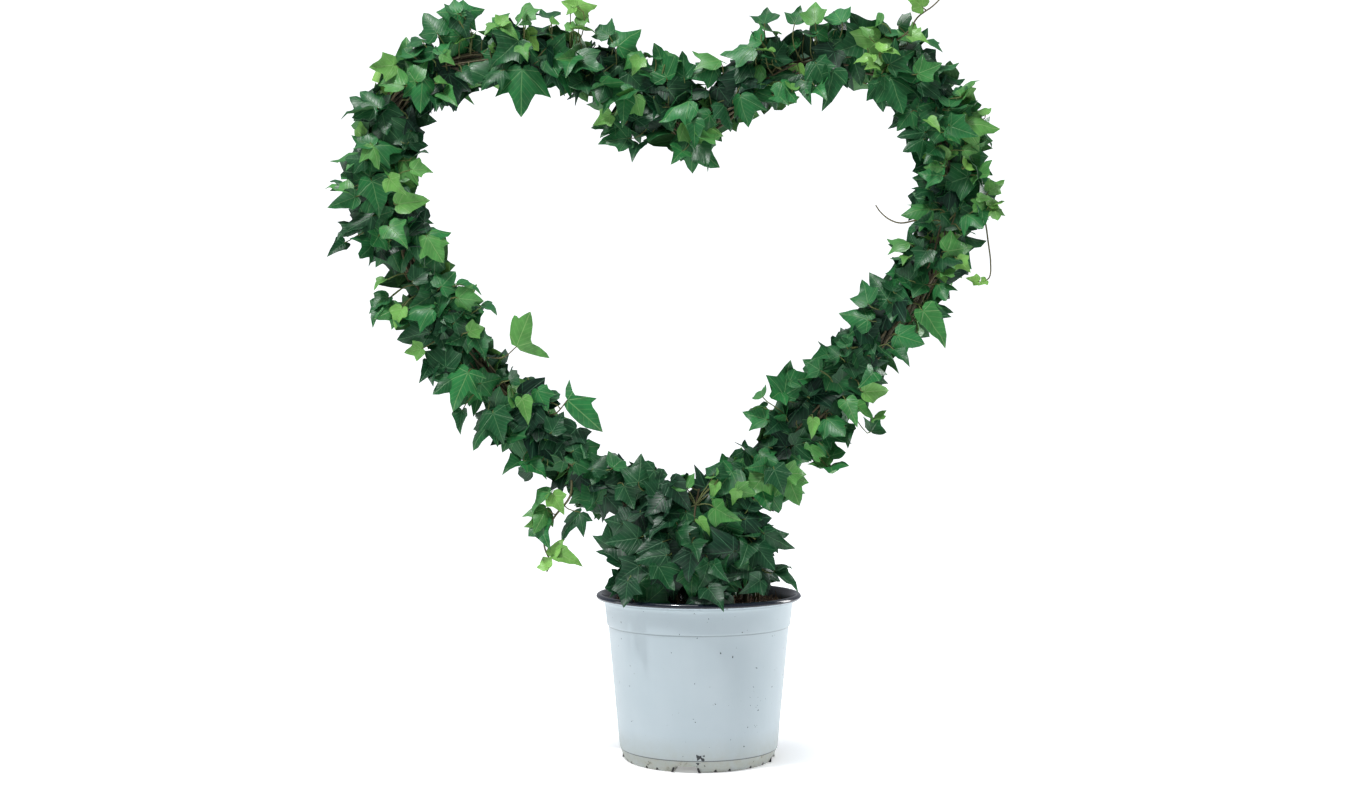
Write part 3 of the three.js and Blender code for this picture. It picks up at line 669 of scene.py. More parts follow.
# Leaves.
# Ivy leaves: leathery blades of three to five pointed lobes, the middle one longest, with pale veins that
# fan out from the stalk. Old leaves are a deep bluish green, young ones a bright yellow-green.
# Each form lists (degrees from the midrib, distance from the stalk in leaf lengths) down one half.
LEAF_HALVES = {
    "five_lobed": [
        (10, 0.83), (21, 0.69), (32, 0.58), (42, 0.63), (51, 0.72), (64, 0.56), (80, 0.44), (104, 0.46),
        (132, 0.3), (160, 0.14),
    ],
    "deep_lobed": [
        (7, 0.82), (14, 0.64), (26, 0.45), (40, 0.58), (51, 0.74), (64, 0.48), (82, 0.32), (104, 0.46),
        (130, 0.27), (156, 0.13),
    ],
    "three_lobed": [
        (9, 0.82), (19, 0.66), (32, 0.56), (45, 0.64), (55, 0.77), (68, 0.56), (88, 0.42), (111, 0.34),
        (137, 0.23), (160, 0.12),
    ],
    "bird_foot": [
        (5, 0.8), (11, 0.56), (24, 0.36), (38, 0.5), (47, 0.72), (58, 0.46), (76, 0.28), (102, 0.46),
        (128, 0.24), (154, 0.11),
    ],
    "lance": [
        (9, 0.82), (18, 0.65), (28, 0.53), (41, 0.46), (55, 0.46), (70, 0.38), (88, 0.33), (108, 0.28),
        (134, 0.21), (158, 0.11),
    ],
    "young": [
        (10, 0.8), (21, 0.64), (34, 0.55), (47, 0.59), (57, 0.65), (70, 0.5), (90, 0.39), (113, 0.33),
        (137, 0.22), (160, 0.12),
    ],
    "crooked_left": [
        (8, 0.88), (18, 0.74), (22, 0.8), (26, 0.86), (32, 0.75), (40, 0.58), (54, 0.36), (90, 0.15),
    ],
    "crooked_right": [
        (6, 0.87), (14, 0.72), (26, 0.55), (42, 0.42), (56, 0.42), (70, 0.58), (82, 0.78), (90, 0.9),
        (94, 0.66), (100, 0.36), (120, 0.14),
    ],
    "drooped_left": [
        (8, 0.85), (18, 0.7), (28, 0.55), (38, 0.5), (47, 0.64), (54, 0.42), (76, 0.2), (106, 0.24),
        (127, 0.48), (142, 0.28), (160, 0.1),
    ],
    "drooped_right": [(7, 0.86), (15, 0.7), (23, 0.53), (35, 0.35), (55, 0.21), (90, 0.12)],
}
# Each form's left half, right half, fold of the halves, curl of the tip, and wave of the edge. A fold
# above 0 bends the halves down from the midrib, one below 0 lifts them to a trough.
LEAF_FORMS = [
    ("five_lobed", "five_lobed", 0.35, 0.25, 0.06), ("five_lobed", "three_lobed", -0.4, 0.35, 0.07),
    ("deep_lobed", "five_lobed", 0.4, 0.3, 0.06), ("deep_lobed", "deep_lobed", -0.5, 0.2, 0.08),
    ("three_lobed", "three_lobed", 0.45, 0.35, 0.06), ("three_lobed", "young", -0.4, -0.15, 0.08),
    ("bird_foot", "bird_foot", 0.3, 0.35, 0.06), ("lance", "lance", -0.55, 0.35, 0.06),
    ("five_lobed", "young", 0.6, 0.55, 0.07), ("young", "young", -0.5, 0.3, 0.06),
    ("young", "three_lobed", 0.4, 0.45, 0.07), ("three_lobed", "five_lobed", 0.65, 0.45, 0.08),
    ("crooked_left", "crooked_right", 0.15, 0.15, 0.04), ("drooped_left", "drooped_right", 0.2, 0.3, 0.04),
]
# The forms that old leaves and young leaves are drawn from.
DARK_FORMS = [0, 1, 2, 4, 5, 6, 8, 9, 11, 1, 4, 5]
YOUNG_FORMS = [9, 10, 7, 5, 9]
BLADE_THICKNESS = 0.014
LATERAL_VEIN = math.radians(52)
BASAL_VEIN = math.radians(101)


def leaf_mesh(name, left, right, fold, curl, wave, seed):
    """A blade one metre long: the stalk at the origin, the tip along X and the upper face towards Z."""
    dice = random.Random(seed)
    rim = [(1.0, 0.0)]
    for mirror, half in ((1, LEAF_HALVES[left]), (-1, LEAF_HALVES[right])):
        shaped = []
        for degrees, radius in half:
            angle = math.radians(degrees)
            ahead = radius * dice.uniform(0.95, 1.05) * math.cos(angle)
            shaped.append((ahead, mirror * radius * math.sin(angle)))
        rim += shaped + [(0.0, 0.0)] if mirror > 0 else shaped[::-1]
    lateral = (0.36 * math.cos(LATERAL_VEIN), 0.36 * math.sin(LATERAL_VEIN))
    inner = [(0.26, 0.0), (0.5, 0.0), (0.76, 0.0), lateral, (lateral[0], -lateral[1])]
    flat = [Vector(p) for p in rim + inner]
    _, _, triangles, _, _, _ = geometry.delaunay_2d_cdt(flat, [], [list(range(len(rim)))], 1, 1e-6)
    points = []
    for way in (0.5, -0.5):
        for p in flat:
            lift = -fold * abs(p.y) - curl * max(p.x, 0) ** 2 - 0.25 * p.y**2
            lift += wave * math.sin(9 * p.x + 4 * p.y + seed) * min(p.length * 1.4, 1)
            points.append((p.x, p.y, lift + way * BLADE_THICKNESS))
    below = len(flat)
    upper = [tuple(t) for t in triangles]
    lower = [tuple(i + below for i in reversed(t)) for t in upper]
    around = [(i, i + below, (i + 1) % len(rim) + below, (i + 1) % len(rim)) for i in range(len(rim))]
    mesh = bpy.data.meshes.new(name)
    mesh.from_pydata(points, [], upper + lower + around)
    mesh.shade_smooth()
    plan = mesh.uv_layers.new(name="leaf_plan")
    for loop, uv in zip(mesh.loops, plan.uv):
        uv.vector = points[loop.vertex_index][:2]
    under = [0.0] * len(upper) + [1.0] * len(lower) + [0.0] * len(around)
    mesh.attributes.new("underside", "FLOAT", "FACE").data.foreach_set("value", under)
    walls = {tuple(sorted(key)) for face in mesh.polygons[2 * len(upper) :] for key in face.edge_keys}
    sharp = [tuple(sorted(edge.vertices)) in walls for edge in mesh.edges]
    mesh.attributes.new("sharp_edge", "BOOLEAN", "EDGE").data.foreach_set("value", sharp)
    return mesh


leaf_forms = shape_store(
    "leaf_form",
    [leaf_mesh(f"leaf_{i}", *form, seed=i) for i, form in enumerate(LEAF_FORMS)],
)

# Waxy ivy blade: a fairly glossy cuticle over deep green, with paler sunken veins. The underside is
# greyer and matt. The attribute "tone" runs from 0 on old leaves to 1 on the youngest.
blade, add, shader = new_finish("waxy_ivy_blade", IOR=1.45, Specular_IOR_Level=0.36)
plan_x, plan_y, _ = add("SeparateXYZ", [add("UVMap", uv_map="leaf_plan")]).outputs
plan_y = add("Math", [plan_y], operation="ABSOLUTE")
tone = add("Attribute", attribute_name="tone").outputs["Fac"]
under = add("Attribute", attribute_name="underside").outputs["Fac"]
veins = None
for angle, width in ((0, 0.014), (LATERAL_VEIN, 0.011), (BASAL_VEIN, 0.009)):
    from_x = [add("Math", [plan_x, k], operation="MULTIPLY") for k in (-math.sin(angle), math.cos(angle))]
    across = add("Math", [plan_y, math.cos(angle), from_x[0]], operation="MULTIPLY_ADD")
    along = add("Math", [plan_y, math.sin(angle), from_x[1]], operation="MULTIPLY_ADD")
    line = add(
        "MapRange", [add("Math", [across], operation="ABSOLUTE"), width * 0.35, width * 1.3, 1.0, 0.0],
        interpolation_type="SMOOTHSTEP",
    )
    vein = add("Math", [line, add("MapRange", [along, 0.0, 0.05, 0.0, 1.0])], operation="MULTIPLY")
    veins = add("Math", [veins, vein], operation="MAXIMUM") if veins else vein
net_gap = add("Math", [add("Math", [plan_x, plan_y], operation="SUBTRACT"), 0.075], operation="PINGPONG")
veins = add("Math", [veins, add("MapRange", [net_gap, 0.003, 0.02, 0.3, 0.0])], operation="MAXIMUM")
old_green = add("Mix", [add("MapRange", [tone, 0.0, 0.5]), "#082b1c", "#28713a"], data_type="RGBA")
green = add("Mix", [add("MapRange", [tone, 0.5, 1.0]), old_green, "#84bb58"], data_type="RGBA")
mottle = add("TexNoise", [add("TexCoord").outputs["Object"], repeats(9.1), 3.0])
varied = add("VectorMath", [green, add("MapRange", [mottle, 0.3, 0.7, 0.78, 1.2])], operation="SCALE")
vein_green = add("Mix", [tone, "#4f8a62", "#b2d680"], data_type="RGBA")
vein_share = add("Math", [veins, 0.42], operation="MULTIPLY")
veined = add("Mix", [vein_share, varied, vein_green], data_type="RGBA")
under_green = add("Mix", [tone, "#2c5a3c", "#86b858"], data_type="RGBA")
under_share = add("Math", [under, 0.5], operation="MULTIPLY")
two_sided = add("Mix", [under_share, veined, under_green], data_type="RGBA")
vein_depth = add("Math", [veins, -1.0], operation="MULTIPLY")
relief = add("Bump", {"Height": vein_depth, "Strength": 0.5, "Distance": 0.0005})
waxy = add("MapRange", [under, 0.0, 1.0, 0.38, 0.65])
feed(shader, {"Base Color": two_sided, "Roughness": waxy, "Normal": relief})

# Stalks and green shoots: smooth and slightly shiny green, tinged brown. The attribute "woody" turns them
# to brown bark where a shoot is old.
stalk_skin, add, shader = new_finish("green_ivy_stalk", Roughness=0.5, IOR=1.42, Specular_IOR_Level=0.3)
blush = add("TexNoise", [add("TexCoord").outputs["Object"], repeats(33), 2.0])
fresh = add("Mix", [blush, "#6f8c4c", "#5d4c34"], data_type="RGBA")
barky = add("Mix", [blush, "#3b3829", "#776c50"], data_type="RGBA")
woody = add("Attribute", attribute_name="woody").outputs["Fac"]
feed(shader, {"Base Color": add("Mix", [woody, fresh, barky], data_type="RGBA")})

# The tree sweeps a shoot's stems and stalks, and sets a leaf on each leaf point.
shoot_tree, add, given = new_tree(
    "leafy_shoot", Leaf_forms="Collection", Sides="Int", Stalks="Material", Blades="Material"
)
is_leaf = add("InputNamedAttribute", ["is_leaf"], data_type="BOOLEAN")
parted = add("SeparateGeometry", [given, is_leaf], domain="POINT")
stalks = add(
    "Group",
    {"Geometry": parted.outputs["Inverted"], "Sides": given.outputs["Sides"],
     "Finish": given.outputs["Stalks"]},
    node_tree=stem_tree,
)
form = add("InputNamedAttribute", ["form"], data_type="INT")
turn = add("InputNamedAttribute", ["turn"], data_type="FLOAT_VECTOR")
leaves = add(
    "InstanceOnPoints",
    {"Points": parted, "Instance": add("CollectionInfo", [given.outputs["Leaf forms"], True, True]),
     "Pick Instance": True, "Instance Index": form, "Rotation": add("EulerToRotation", [turn]),
     "Scale": add("InputNamedAttribute", ["size"], data_type="FLOAT")},
)
leaves_real = add("RealizeInstances", [leaves])
whole = add("JoinGeometry")
for part in (stalks, add("SetMaterial", {"Geometry": leaves_real, "Material": given.outputs["Blades"]})):
    feed(whole, [part])
add("GroupOutput", [whole])


# A stalk's radius and how woody it is, from its foot to the blade.
STALK_RADII = [0.62, 0.55, 0.5, 0.48, 0.48, 0.5]
STALK_WOOD = [0.45, 0.3, 0.2, 0.1, 0.0, 0.0]
Leaf = collections.namedtuple("Leaf", "foot away joint tip side face length form tone")


class Shoot:
    """A leafy shoot in the making: its stems as lines, and its leaves as plans of stalk and blade."""

    def __init__(self, name, node, slot):
        self.name, self.node, self.slot = name, node, slot
        self.stems = []
        self.leaves = []

    def stem(self, points, thick, thin, woody=1.0):
        """A stem through the points, whose radius goes from thick to thin."""
        count = len(points) - 1
        self.stems.append((points, [mix(thick, thin, i / count) for i in range(count + 1)], woody))

    def leaf(self, foot, away, joint, tip, face, length, form, tone):
        """A stalk from its foot on a stem, setting out one way and ending at the joint, and a blade."""
        tip = tip.normalized()
        side = face.cross(tip)
        if side.length < 0.05:
            side = (face + Vector((0.3, 0.2, 0.5))).cross(tip)
        side.normalize()
        self.leaves.append(Leaf(foot, away, joint, tip, side, tip.cross(side), length, form, tone))

    def mesh(self):
        """The lines and marked points from which the tree grows the shoot. A stalk bends as a smooth curve
        from its foot to the joint and meets the blade from below."""
        points, edges, thickness, woody, turns = [], [], [], [], []
        lines = [(line, radii, [wood] * len(line)) for line, radii, wood in self.stems]
        for foot, away, joint, tip, side, face, _, _, _ in self.leaves:
            span = (joint - foot).length
            bends = [foot, foot + away * span * 0.5, joint - tip * span * 0.3 - face * span * 0.15, joint]
            stalk = []
            for i in range(6):
                t = i / 5
                weights = ((1 - t) ** 3, 3 * t * (1 - t) ** 2, 3 * t * t * (1 - t), t**3)
                stalk.append(sum((b * w for b, w in zip(bends, weights)), Vector()))
            lines.append((stalk, STALK_RADII, STALK_WOOD))
            turns.append(tuple(Matrix((tip, side, face)).transposed().to_euler("XYZ")))
        for line, radii, woods in lines:
            edges += [(len(points) + i, len(points) + i + 1) for i in range(len(line) - 1)]
            points += line
            thickness += radii
            woody += woods
        stems, blades = len(points), len(self.leaves)
        points += [leaf.joint for leaf in self.leaves]
        return marked_points(
            self.name + "_plan", points, edges,
            thickness=thickness + [0.0] * blades, woody=woody + [0.0] * blades,
            is_leaf=[False] * stems + [True] * blades,
            turn=[(0.0, 0.0, 0.0)] * stems + turns,
            size=[0.0] * stems + [leaf.length * MM for leaf in self.leaves],
            form=[0] * stems + [leaf.form for leaf in self.leaves],
            tone=[0.0] * stems + [leaf.tone for leaf in self.leaves],
        )

    def finish(self):
        """Grows the shoot as one piece in place of its node."""
        piece = made_by(
            shoot_tree, self.name, self.mesh(), keep=("tone", "woody", "underside", "leaf_plan"),
            Leaf_forms=leaf_forms, Sides=6, Stalks=stalk_skin, Blades=blade,
        )
        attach(piece, "root")
        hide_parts(self.node)


def blade_middle(joint, tip, length):
    """The middle of a blade's broad part."""
    return joint + tip * length * 0.4


shoots = []

# Mound shoots.
# Six short leafy shoots rooted round the hoop's legs. They are the youngest stems of the planting, with
# the largest leaves, and they hide the compost and lean over the rim.
MOUND_ANGLES = [-145, -90, -35, 35, 90, 145]
# How far from the middle a shoot is rooted, and the height of its foot and of its tip above that.
MOUND_ROOT = 47
MOUND_FOOT = 119
MOUND_HEIGHT = 106
MOUND_LEAVES = 9
# Each shoot's four stems: degrees from its middle, share of the full height, and number.
MOUND_STEMS = [(0, 1.0, 0), (-24, 0.78, 1), (22, 0.62, 2), (8, 0.42, 3)]
# The mound's leaves take only the darkest tones: old leaves, made darker still as painted shade for the shade
# of the bundle.
MOUND_TONES = [0.0, 0.03, 0.06, 0.12, 0.24]
# Where the leaves stay: how far they reach, the least height of a blade in the middle and at the sides,
# and the right edge above and below the height at which the mound narrows.
MOUND_REACH = 76
LOWEST_IN_MIDDLE, LOWEST_AT_SIDES, MIDDLE_HALF_WIDTH = 142, 149, 50
RIGHT_ABOVE, RIGHT_BELOW, NARROWING_HEIGHT = 60, 76, 165
# Flushes of young leaves on the front: x, z, radius and how much brighter.
YOUNG_FLUSHES = [
    (147, 580, 16, 0.6), (232, 530, 34, 0.45), (246, 480, 28, 0.5), (152, 301, 16, 0.6),
    (82, 232, 28, 0.45), (36, 218, 30, 0.4), (-258, 572, 18, 0.5), (-246, 480, 18, 0.5),
    (-238, 462, 14, 0.6), (-140, 202, 26, 0.6), (-268, 596, 20, 0.4), (178, 605, 24, 0.5),
    (-148, 616, 20, 0.3), (70, 575, 22, 0.25), (-275, 500, 24, 0.3),
]


def lit(x, z, base, dice):
    """A leaf's tone: the base for its kind, raised where the plant has a flush of young leaves."""
    flush = 0.0
    for cx, cz, radius, amount in YOUNG_FLUSHES:
        near = 1 - math.hypot(x - cx, z - cz) / radius
        if near > 0:
            flush = max(flush, amount * min(1, near * 2))
    return min(1.0, max(0.0, base + flush * dice.uniform(0.45, 1.1)))


for number, degrees in enumerate(MOUND_ANGLES):
    dice = random.Random(500 + number)
    shoot = Shoot(f"mound_leaves_{number + 1}", f"mound_shoot_{number + 1}", "ivy_leaf")
    shoots.append(shoot)
    for offset, share, stem_number in MOUND_STEMS:
        angle = math.radians(degrees + offset)
        out = Vector((math.cos(angle), math.sin(angle), 0))
        round_about = Vector((-out.y, out.x, 0))
        height = MOUND_HEIGHT * share
        points = []
        for i in range(17):
            t = i / 16
            distance = MOUND_ROOT + 7 * math.sin(math.pi * t) - 6 * t + 3 * stem_number * (1 - t) - 4
            point = out * distance + round_about * 4 * math.sin(2 * math.pi * t + stem_number)
            point.z = MOUND_FOOT + height * t
            points.append(point)
        shoot.stem(points, 1.45 - 0.2 * stem_number, 0.8)
        leaves = max(3, round(MOUND_LEAVES * share))
        for j in range(leaves):
            t = mix(0.2 if share > 0.5 else 0.35, 0.99, j / (leaves - 1))
            foot = on_curve(points, t)
            swing = math.radians((1 if j % 2 else -1) * dice.uniform(15, 75))
            away = Matrix.Rotation(swing, 3, "Z") @ out
            stalk = dice.uniform(9, 22) * (1.0 if share > 0.5 else 0.8)
            joint = foot + away * stalk + UP * dice.uniform(0.0, 0.7) * stalk
            tip = away * dice.uniform(0.3, 1.0) + UP * dice.uniform(-1.1, 0.35)
            tip += round_about * dice.uniform(-0.7, 0.7)
            tip = tip.normalized()
            length = dice.uniform(27, 37)
            end = joint + tip * length
            limit = MOUND_REACH - 12 * abs(tip.dot(round_about))
            reach = math.hypot(end.x, end.y)
            if reach > limit:
                joint -= Vector((end.x, end.y, 0)) * (1 - limit / reach)
            middle = blade_middle(joint, tip, length)
            lowest = LOWEST_IN_MIDDLE if abs(middle.x) < MIDDLE_HALF_WIDTH else LOWEST_AT_SIDES
            joint.z += max(0, lowest - min(joint.z, (joint + tip * length).z))
            right_edge = RIGHT_ABOVE if middle.z > NARROWING_HEIGHT else RIGHT_BELOW
            joint.x -= max(0, middle.x + 0.5 * length - right_edge)
            joint.x += max(0, -MOUND_REACH - middle.x + 0.5 * length)
            face = away * 0.9 + UP * 0.75 + Vector([dice.uniform(-0.35, 0.35) for _ in range(3)])
            tone = lit(joint.x, joint.z, dice.choice(MOUND_TONES), dice)
            form = dice.choice(DARK_FORMS)
            # The compost at the front right stays bare.
            if joint.x < 22 or joint.z > 152 or joint.y > 20:
                shoot.leaf(foot, away, joint, tip, face, length, form, tone)

# Arm shoots.
# Leafy side shoots, eighteen to an arm, that clothe the bundle on every side: three round it in each of
# six sections. Each has three twining stems seated on the vines, with leaves in two rows.
# Where the first shoots start and the last ones end, and how the shoots are turned from row to row.
SECTIONS = 6
ROWS = 3
FIRST_SHOOT = 66
LAST_SHOOT = 14
SHOOT_ANGLE = 24
SECTION_TURN = 47
SHOOT_STAGGER = 0.28
# Each shoot's stems: degrees from its middle, and how much later each starts. Then the leaves' spacing.
TWINING_STEMS = [(-36, 0.0), (2, 0.1), (38, 0.2)]
LEAF_SPACING = 14.5
# How far the leaves reach from the wire in the heart's plane, every 40 mm from 100 mm up each arm.
REACH_START, REACH_STEP = 100, 40
REACHES = {
    "left": {
        "outer": [36, 38, 38, 38, 37, 37, 45, 35, 44, 45, 34, 34, 55, 54, 57, 53, 48, 56],
        "inner": [24, 18, 18, 22, 17, 20, 30, 32, 25, 32, 27, 26, 20, 13, 12, 22, 42, 32],
    },
    "right": {
        "outer": [32, 33, 32, 42, 18, 20, 25, 32, 36, 40, 33, 50, 55, 58, 56, 58],
        "inner": [36, 24, 40, 33, 37, 40, 30, 28, 20, 30, 22, 13, 12, 12, 12, 16],
    },
}
DEPTH_REACH = 40
# No leaf grows where the reach is less than this, and every blade starts this far from the wire.
BARE_REACH = 22
STALK_CLEAR = 11
# A stalk is at least as long as this, away from the wire.
STALK_LEAST = 4
YOUNG_FROM = 0.86
SIDE_TONES = [0.0, 0.06, 0.12, 0.18, 0.28, 0.4]


def on_some_vine(near, angle):
    """The nearest distance up an arm at which some vine lies under the angle."""
    best = math.inf
    for k in range(4):
        turns = (angle - vine_angle(k, near)) / (2 * math.pi)
        step = (turns - round(turns)) * VINE_PITCH
        if abs(step) < abs(best):
            best = step
    return near + best


def reach_at(side, edge, a):
    """How far the leaves reach from the wire on one edge, a millimetres up an arm."""
    table = REACHES[side][edge]
    place = min(max((a - REACH_START) / REACH_STEP, 0), len(table) - 1.001)
    i = int(place)
    return mix(table[i], table[i + 1], place - i)


def side_leaf(shoot, side, arm, a, angle, foot, dice):
    """A leaf that leaves its stem round the bundle at an angle and stays within the arm's reach."""
    point, along, outward = station(arm, a)
    away = radial(outward, angle)
    sideways, forwards = math.cos(angle), math.sin(angle)
    edge = "outer" if sideways > 0 else "inner"
    span = 1 / math.hypot(sideways / reach_at(side, edge, a), forwards / DEPTH_REACH)
    if span < BARE_REACH:
        return
    reach = span * mix(0.5, 0.98, dice.random() ** 0.7)
    length = dice.uniform(24, 35) if dice.random() > 0.22 else dice.uniform(14, 22)
    tip = away * dice.uniform(-0.1, 0.9) - FRONT * 0.4 * forwards
    tip += along * dice.uniform(-1.1, 1.1) + UP * dice.uniform(-1.1, 0.3) + outward * dice.uniform(-0.5, 0.5)
    tip = tip.normalized()
    end = point + away * reach + along * dice.uniform(-5, 12)
    joint = end - tip * length
    spare = joint - point
    spare -= along * spare.dot(along)
    if spare.length < STALK_CLEAR:
        joint += (away - along * away.dot(along)) * (STALK_CLEAR - spare.length)
    stalk = joint - foot
    longest = dice.uniform(15, 23)
    if stalk.length > longest:
        joint = foot + stalk * (longest / stalk.length)
    if (joint - foot).dot(away) < STALK_LEAST:
        joint += away * (STALK_LEAST - (joint - foot).dot(away))
    front_share = 1 if forwards > -0.3 else -1
    face = FRONT * front_share * dice.uniform(0.35, 1.1) + away * 0.45 + UP * dice.uniform(0.1, 0.9)
    face += Vector([dice.uniform(-0.7, 0.7) for _ in range(3)])
    base = dice.uniform(0.5, 0.8) if dice.random() > YOUNG_FROM else dice.choice(SIDE_TONES)
    tone = lit(joint.x, joint.z, base, dice)
    if tone > 0.62:
        length *= dice.uniform(0.72, 0.95)
    form = dice.choice(YOUNG_FORMS if tone > 0.55 and dice.random() > 0.4 else DARK_FORMS)
    shoot.leaf(foot, away, joint, tip, face, length, form, tone)


for side, arm in ARMS.items():
    pace = (arm["length"] - FIRST_SHOOT - LAST_SHOOT) / SECTIONS
    for number in range(SECTIONS * ROWS):
        section, row = divmod(number, ROWS)
        dice = random.Random(1000 * (1 + (side == "right")) + number)
        shoot = Shoot(f"leafy_shoot_{side}_{number + 1:02d}", f"shoot_{side}_{number + 1:02d}", "ivy_leaf")
        shoots.append(shoot)
        middle = SHOOT_ANGLE + 360 * row / ROWS + SECTION_TURN * section
        start = max(FIRST_SHOOT + pace * (section + SHOOT_STAGGER * row), 104)
        for offset, late in TWINING_STEMS:
            angle = math.radians(middle + offset)
            seat = on_some_vine(start + late * pace * 0.5, angle)
            stem_end = min(seat + pace * dice.uniform(0.95, 1.12), arm["length"] + 6)
            wander = dice.uniform(0, 50)
            points, places = [], []
            for i in range(25):
                t = i / 24
                a = mix(seat, stem_end, t)
                here = angle + 0.45 * noise.noise(Vector((a / 35, wander, 1))) * smooth(t * 4)
                lift = mix(-1.2, 1.8 + 2.5 * noise.noise(Vector((a / 25, wander, 8))), smooth(t * 5)) + 2 * t
                points.append(on_bundle(arm, a, here, BUNDLE_RADIUS + lift))
                places.append((a, here))
            shoot.stem(points, 1.15, 0.7)
            count = max(3, round((stem_end - seat) / LEAF_SPACING))
            for j in range(count):
                t = (j + 0.75) / count if j < count - 1 else 1.0
                foot = on_curve(points, t)
                a, here = places[round(t * 24)]
                swing = math.radians((1 if j % 2 else -1) * dice.uniform(8, 52))
                side_leaf(shoot, side, arm, a, here + swing, foot, dice)

# Free shoots.
# Young growth that has left the bundle: hanging shoots, a bare runner, a shoot above the right lobe and
# two long-stalked leaves inside the heart. Each starts on a vine, and its newest leaves are bright.
# Each entry: node, arm, height up the arm, degrees round it, stem radius, route, and leaves as (share of the
# stem, direction, length, tone).
FREE_SHOOTS = [
    ("hanging_shoot_left", "left", 148, 20, 1.1,
     [(-106, -14, 218), (-120, -18, 199), (-127, -19, 179), (-122, -18, 164), (-125, -18, 156)],
     []),
    ("bare_runner_right", "right", 372, 165, 0.9,
     [(189, -9, 449), (177, -12, 445), (166, -14, 443), (157, -14, 446), (150, -13, 452), (146, -12, 458)],
     []),
    ("hanging_runner_right", "right", 398, 30, 0.9,
     [(227, -14, 462), (235, -16, 446), (238, -17, 427), (240, -17, 410), (239, -17, 398), (232, -16, 394)],
     [(1.0, (-0.9, -0.2, 0.3), 10, 0.95), (0.9, (-0.7, -0.5, -0.4), 8, 0.95)]),
    ("top_shoot_right", "right", 530, 40, 1.0,
     [(170, -16, 598), (180, -16, 612), (192, -15, 621), (200, -14, 629), (205, -14, 636)],
     [(0.6, (-0.75, -0.4, 0.55), 20, 0.85), (1.0, (0.95, -0.3, -0.1), 20, 0.9)]),
    ("inner_leaf_left_upper", "left", 277, 150, 0.9, [(-162, -14, 332), (-150, -16, 341)],
     [(1.0, (0.36, -0.12, 0.93), 31, 0.66)]),
    ("inner_leaf_left_lower", "left", 220, 150, 0.9, [(-118, -16, 286), (-108, -18, 297)],
     [(1.0, (0.76, -0.12, -0.65), 38, 0.5)]),
]

for node, side, near, degrees, radius, route, leaves in FREE_SHOOTS:
    arm = ARMS[side]
    angle = math.radians(degrees)
    seat = on_some_vine(near, angle)
    corners = [
        on_bundle(arm, seat, angle, BUNDLE_RADIUS), on_bundle(arm, seat + 3, angle, BUNDLE_RADIUS + 4),
        *[Vector(p) for p in route],
    ]
    shoot = Shoot(node + "_growth", node, "young_leaf")
    shoots.append(shoot)
    shoot.stem([on_curve(corners, i / 30) for i in range(31)], radius, radius * 0.6, woody=0.8)
    dice = random.Random(int(near))
    for t, direction, length, tone in leaves:
        foot = on_curve(corners, t)
        tip = Vector(direction).normalized()
        joint = foot + tip * length * 0.28
        form = {"inner_leaf_left_upper": 12, "inner_leaf_left_lower": 13}.get(node, 9)
        joint = foot if t == 1 and form > 9 else joint
        shoot.leaf(foot, tip, joint, tip, FRONT + UP * 0.15, length, form, tone)
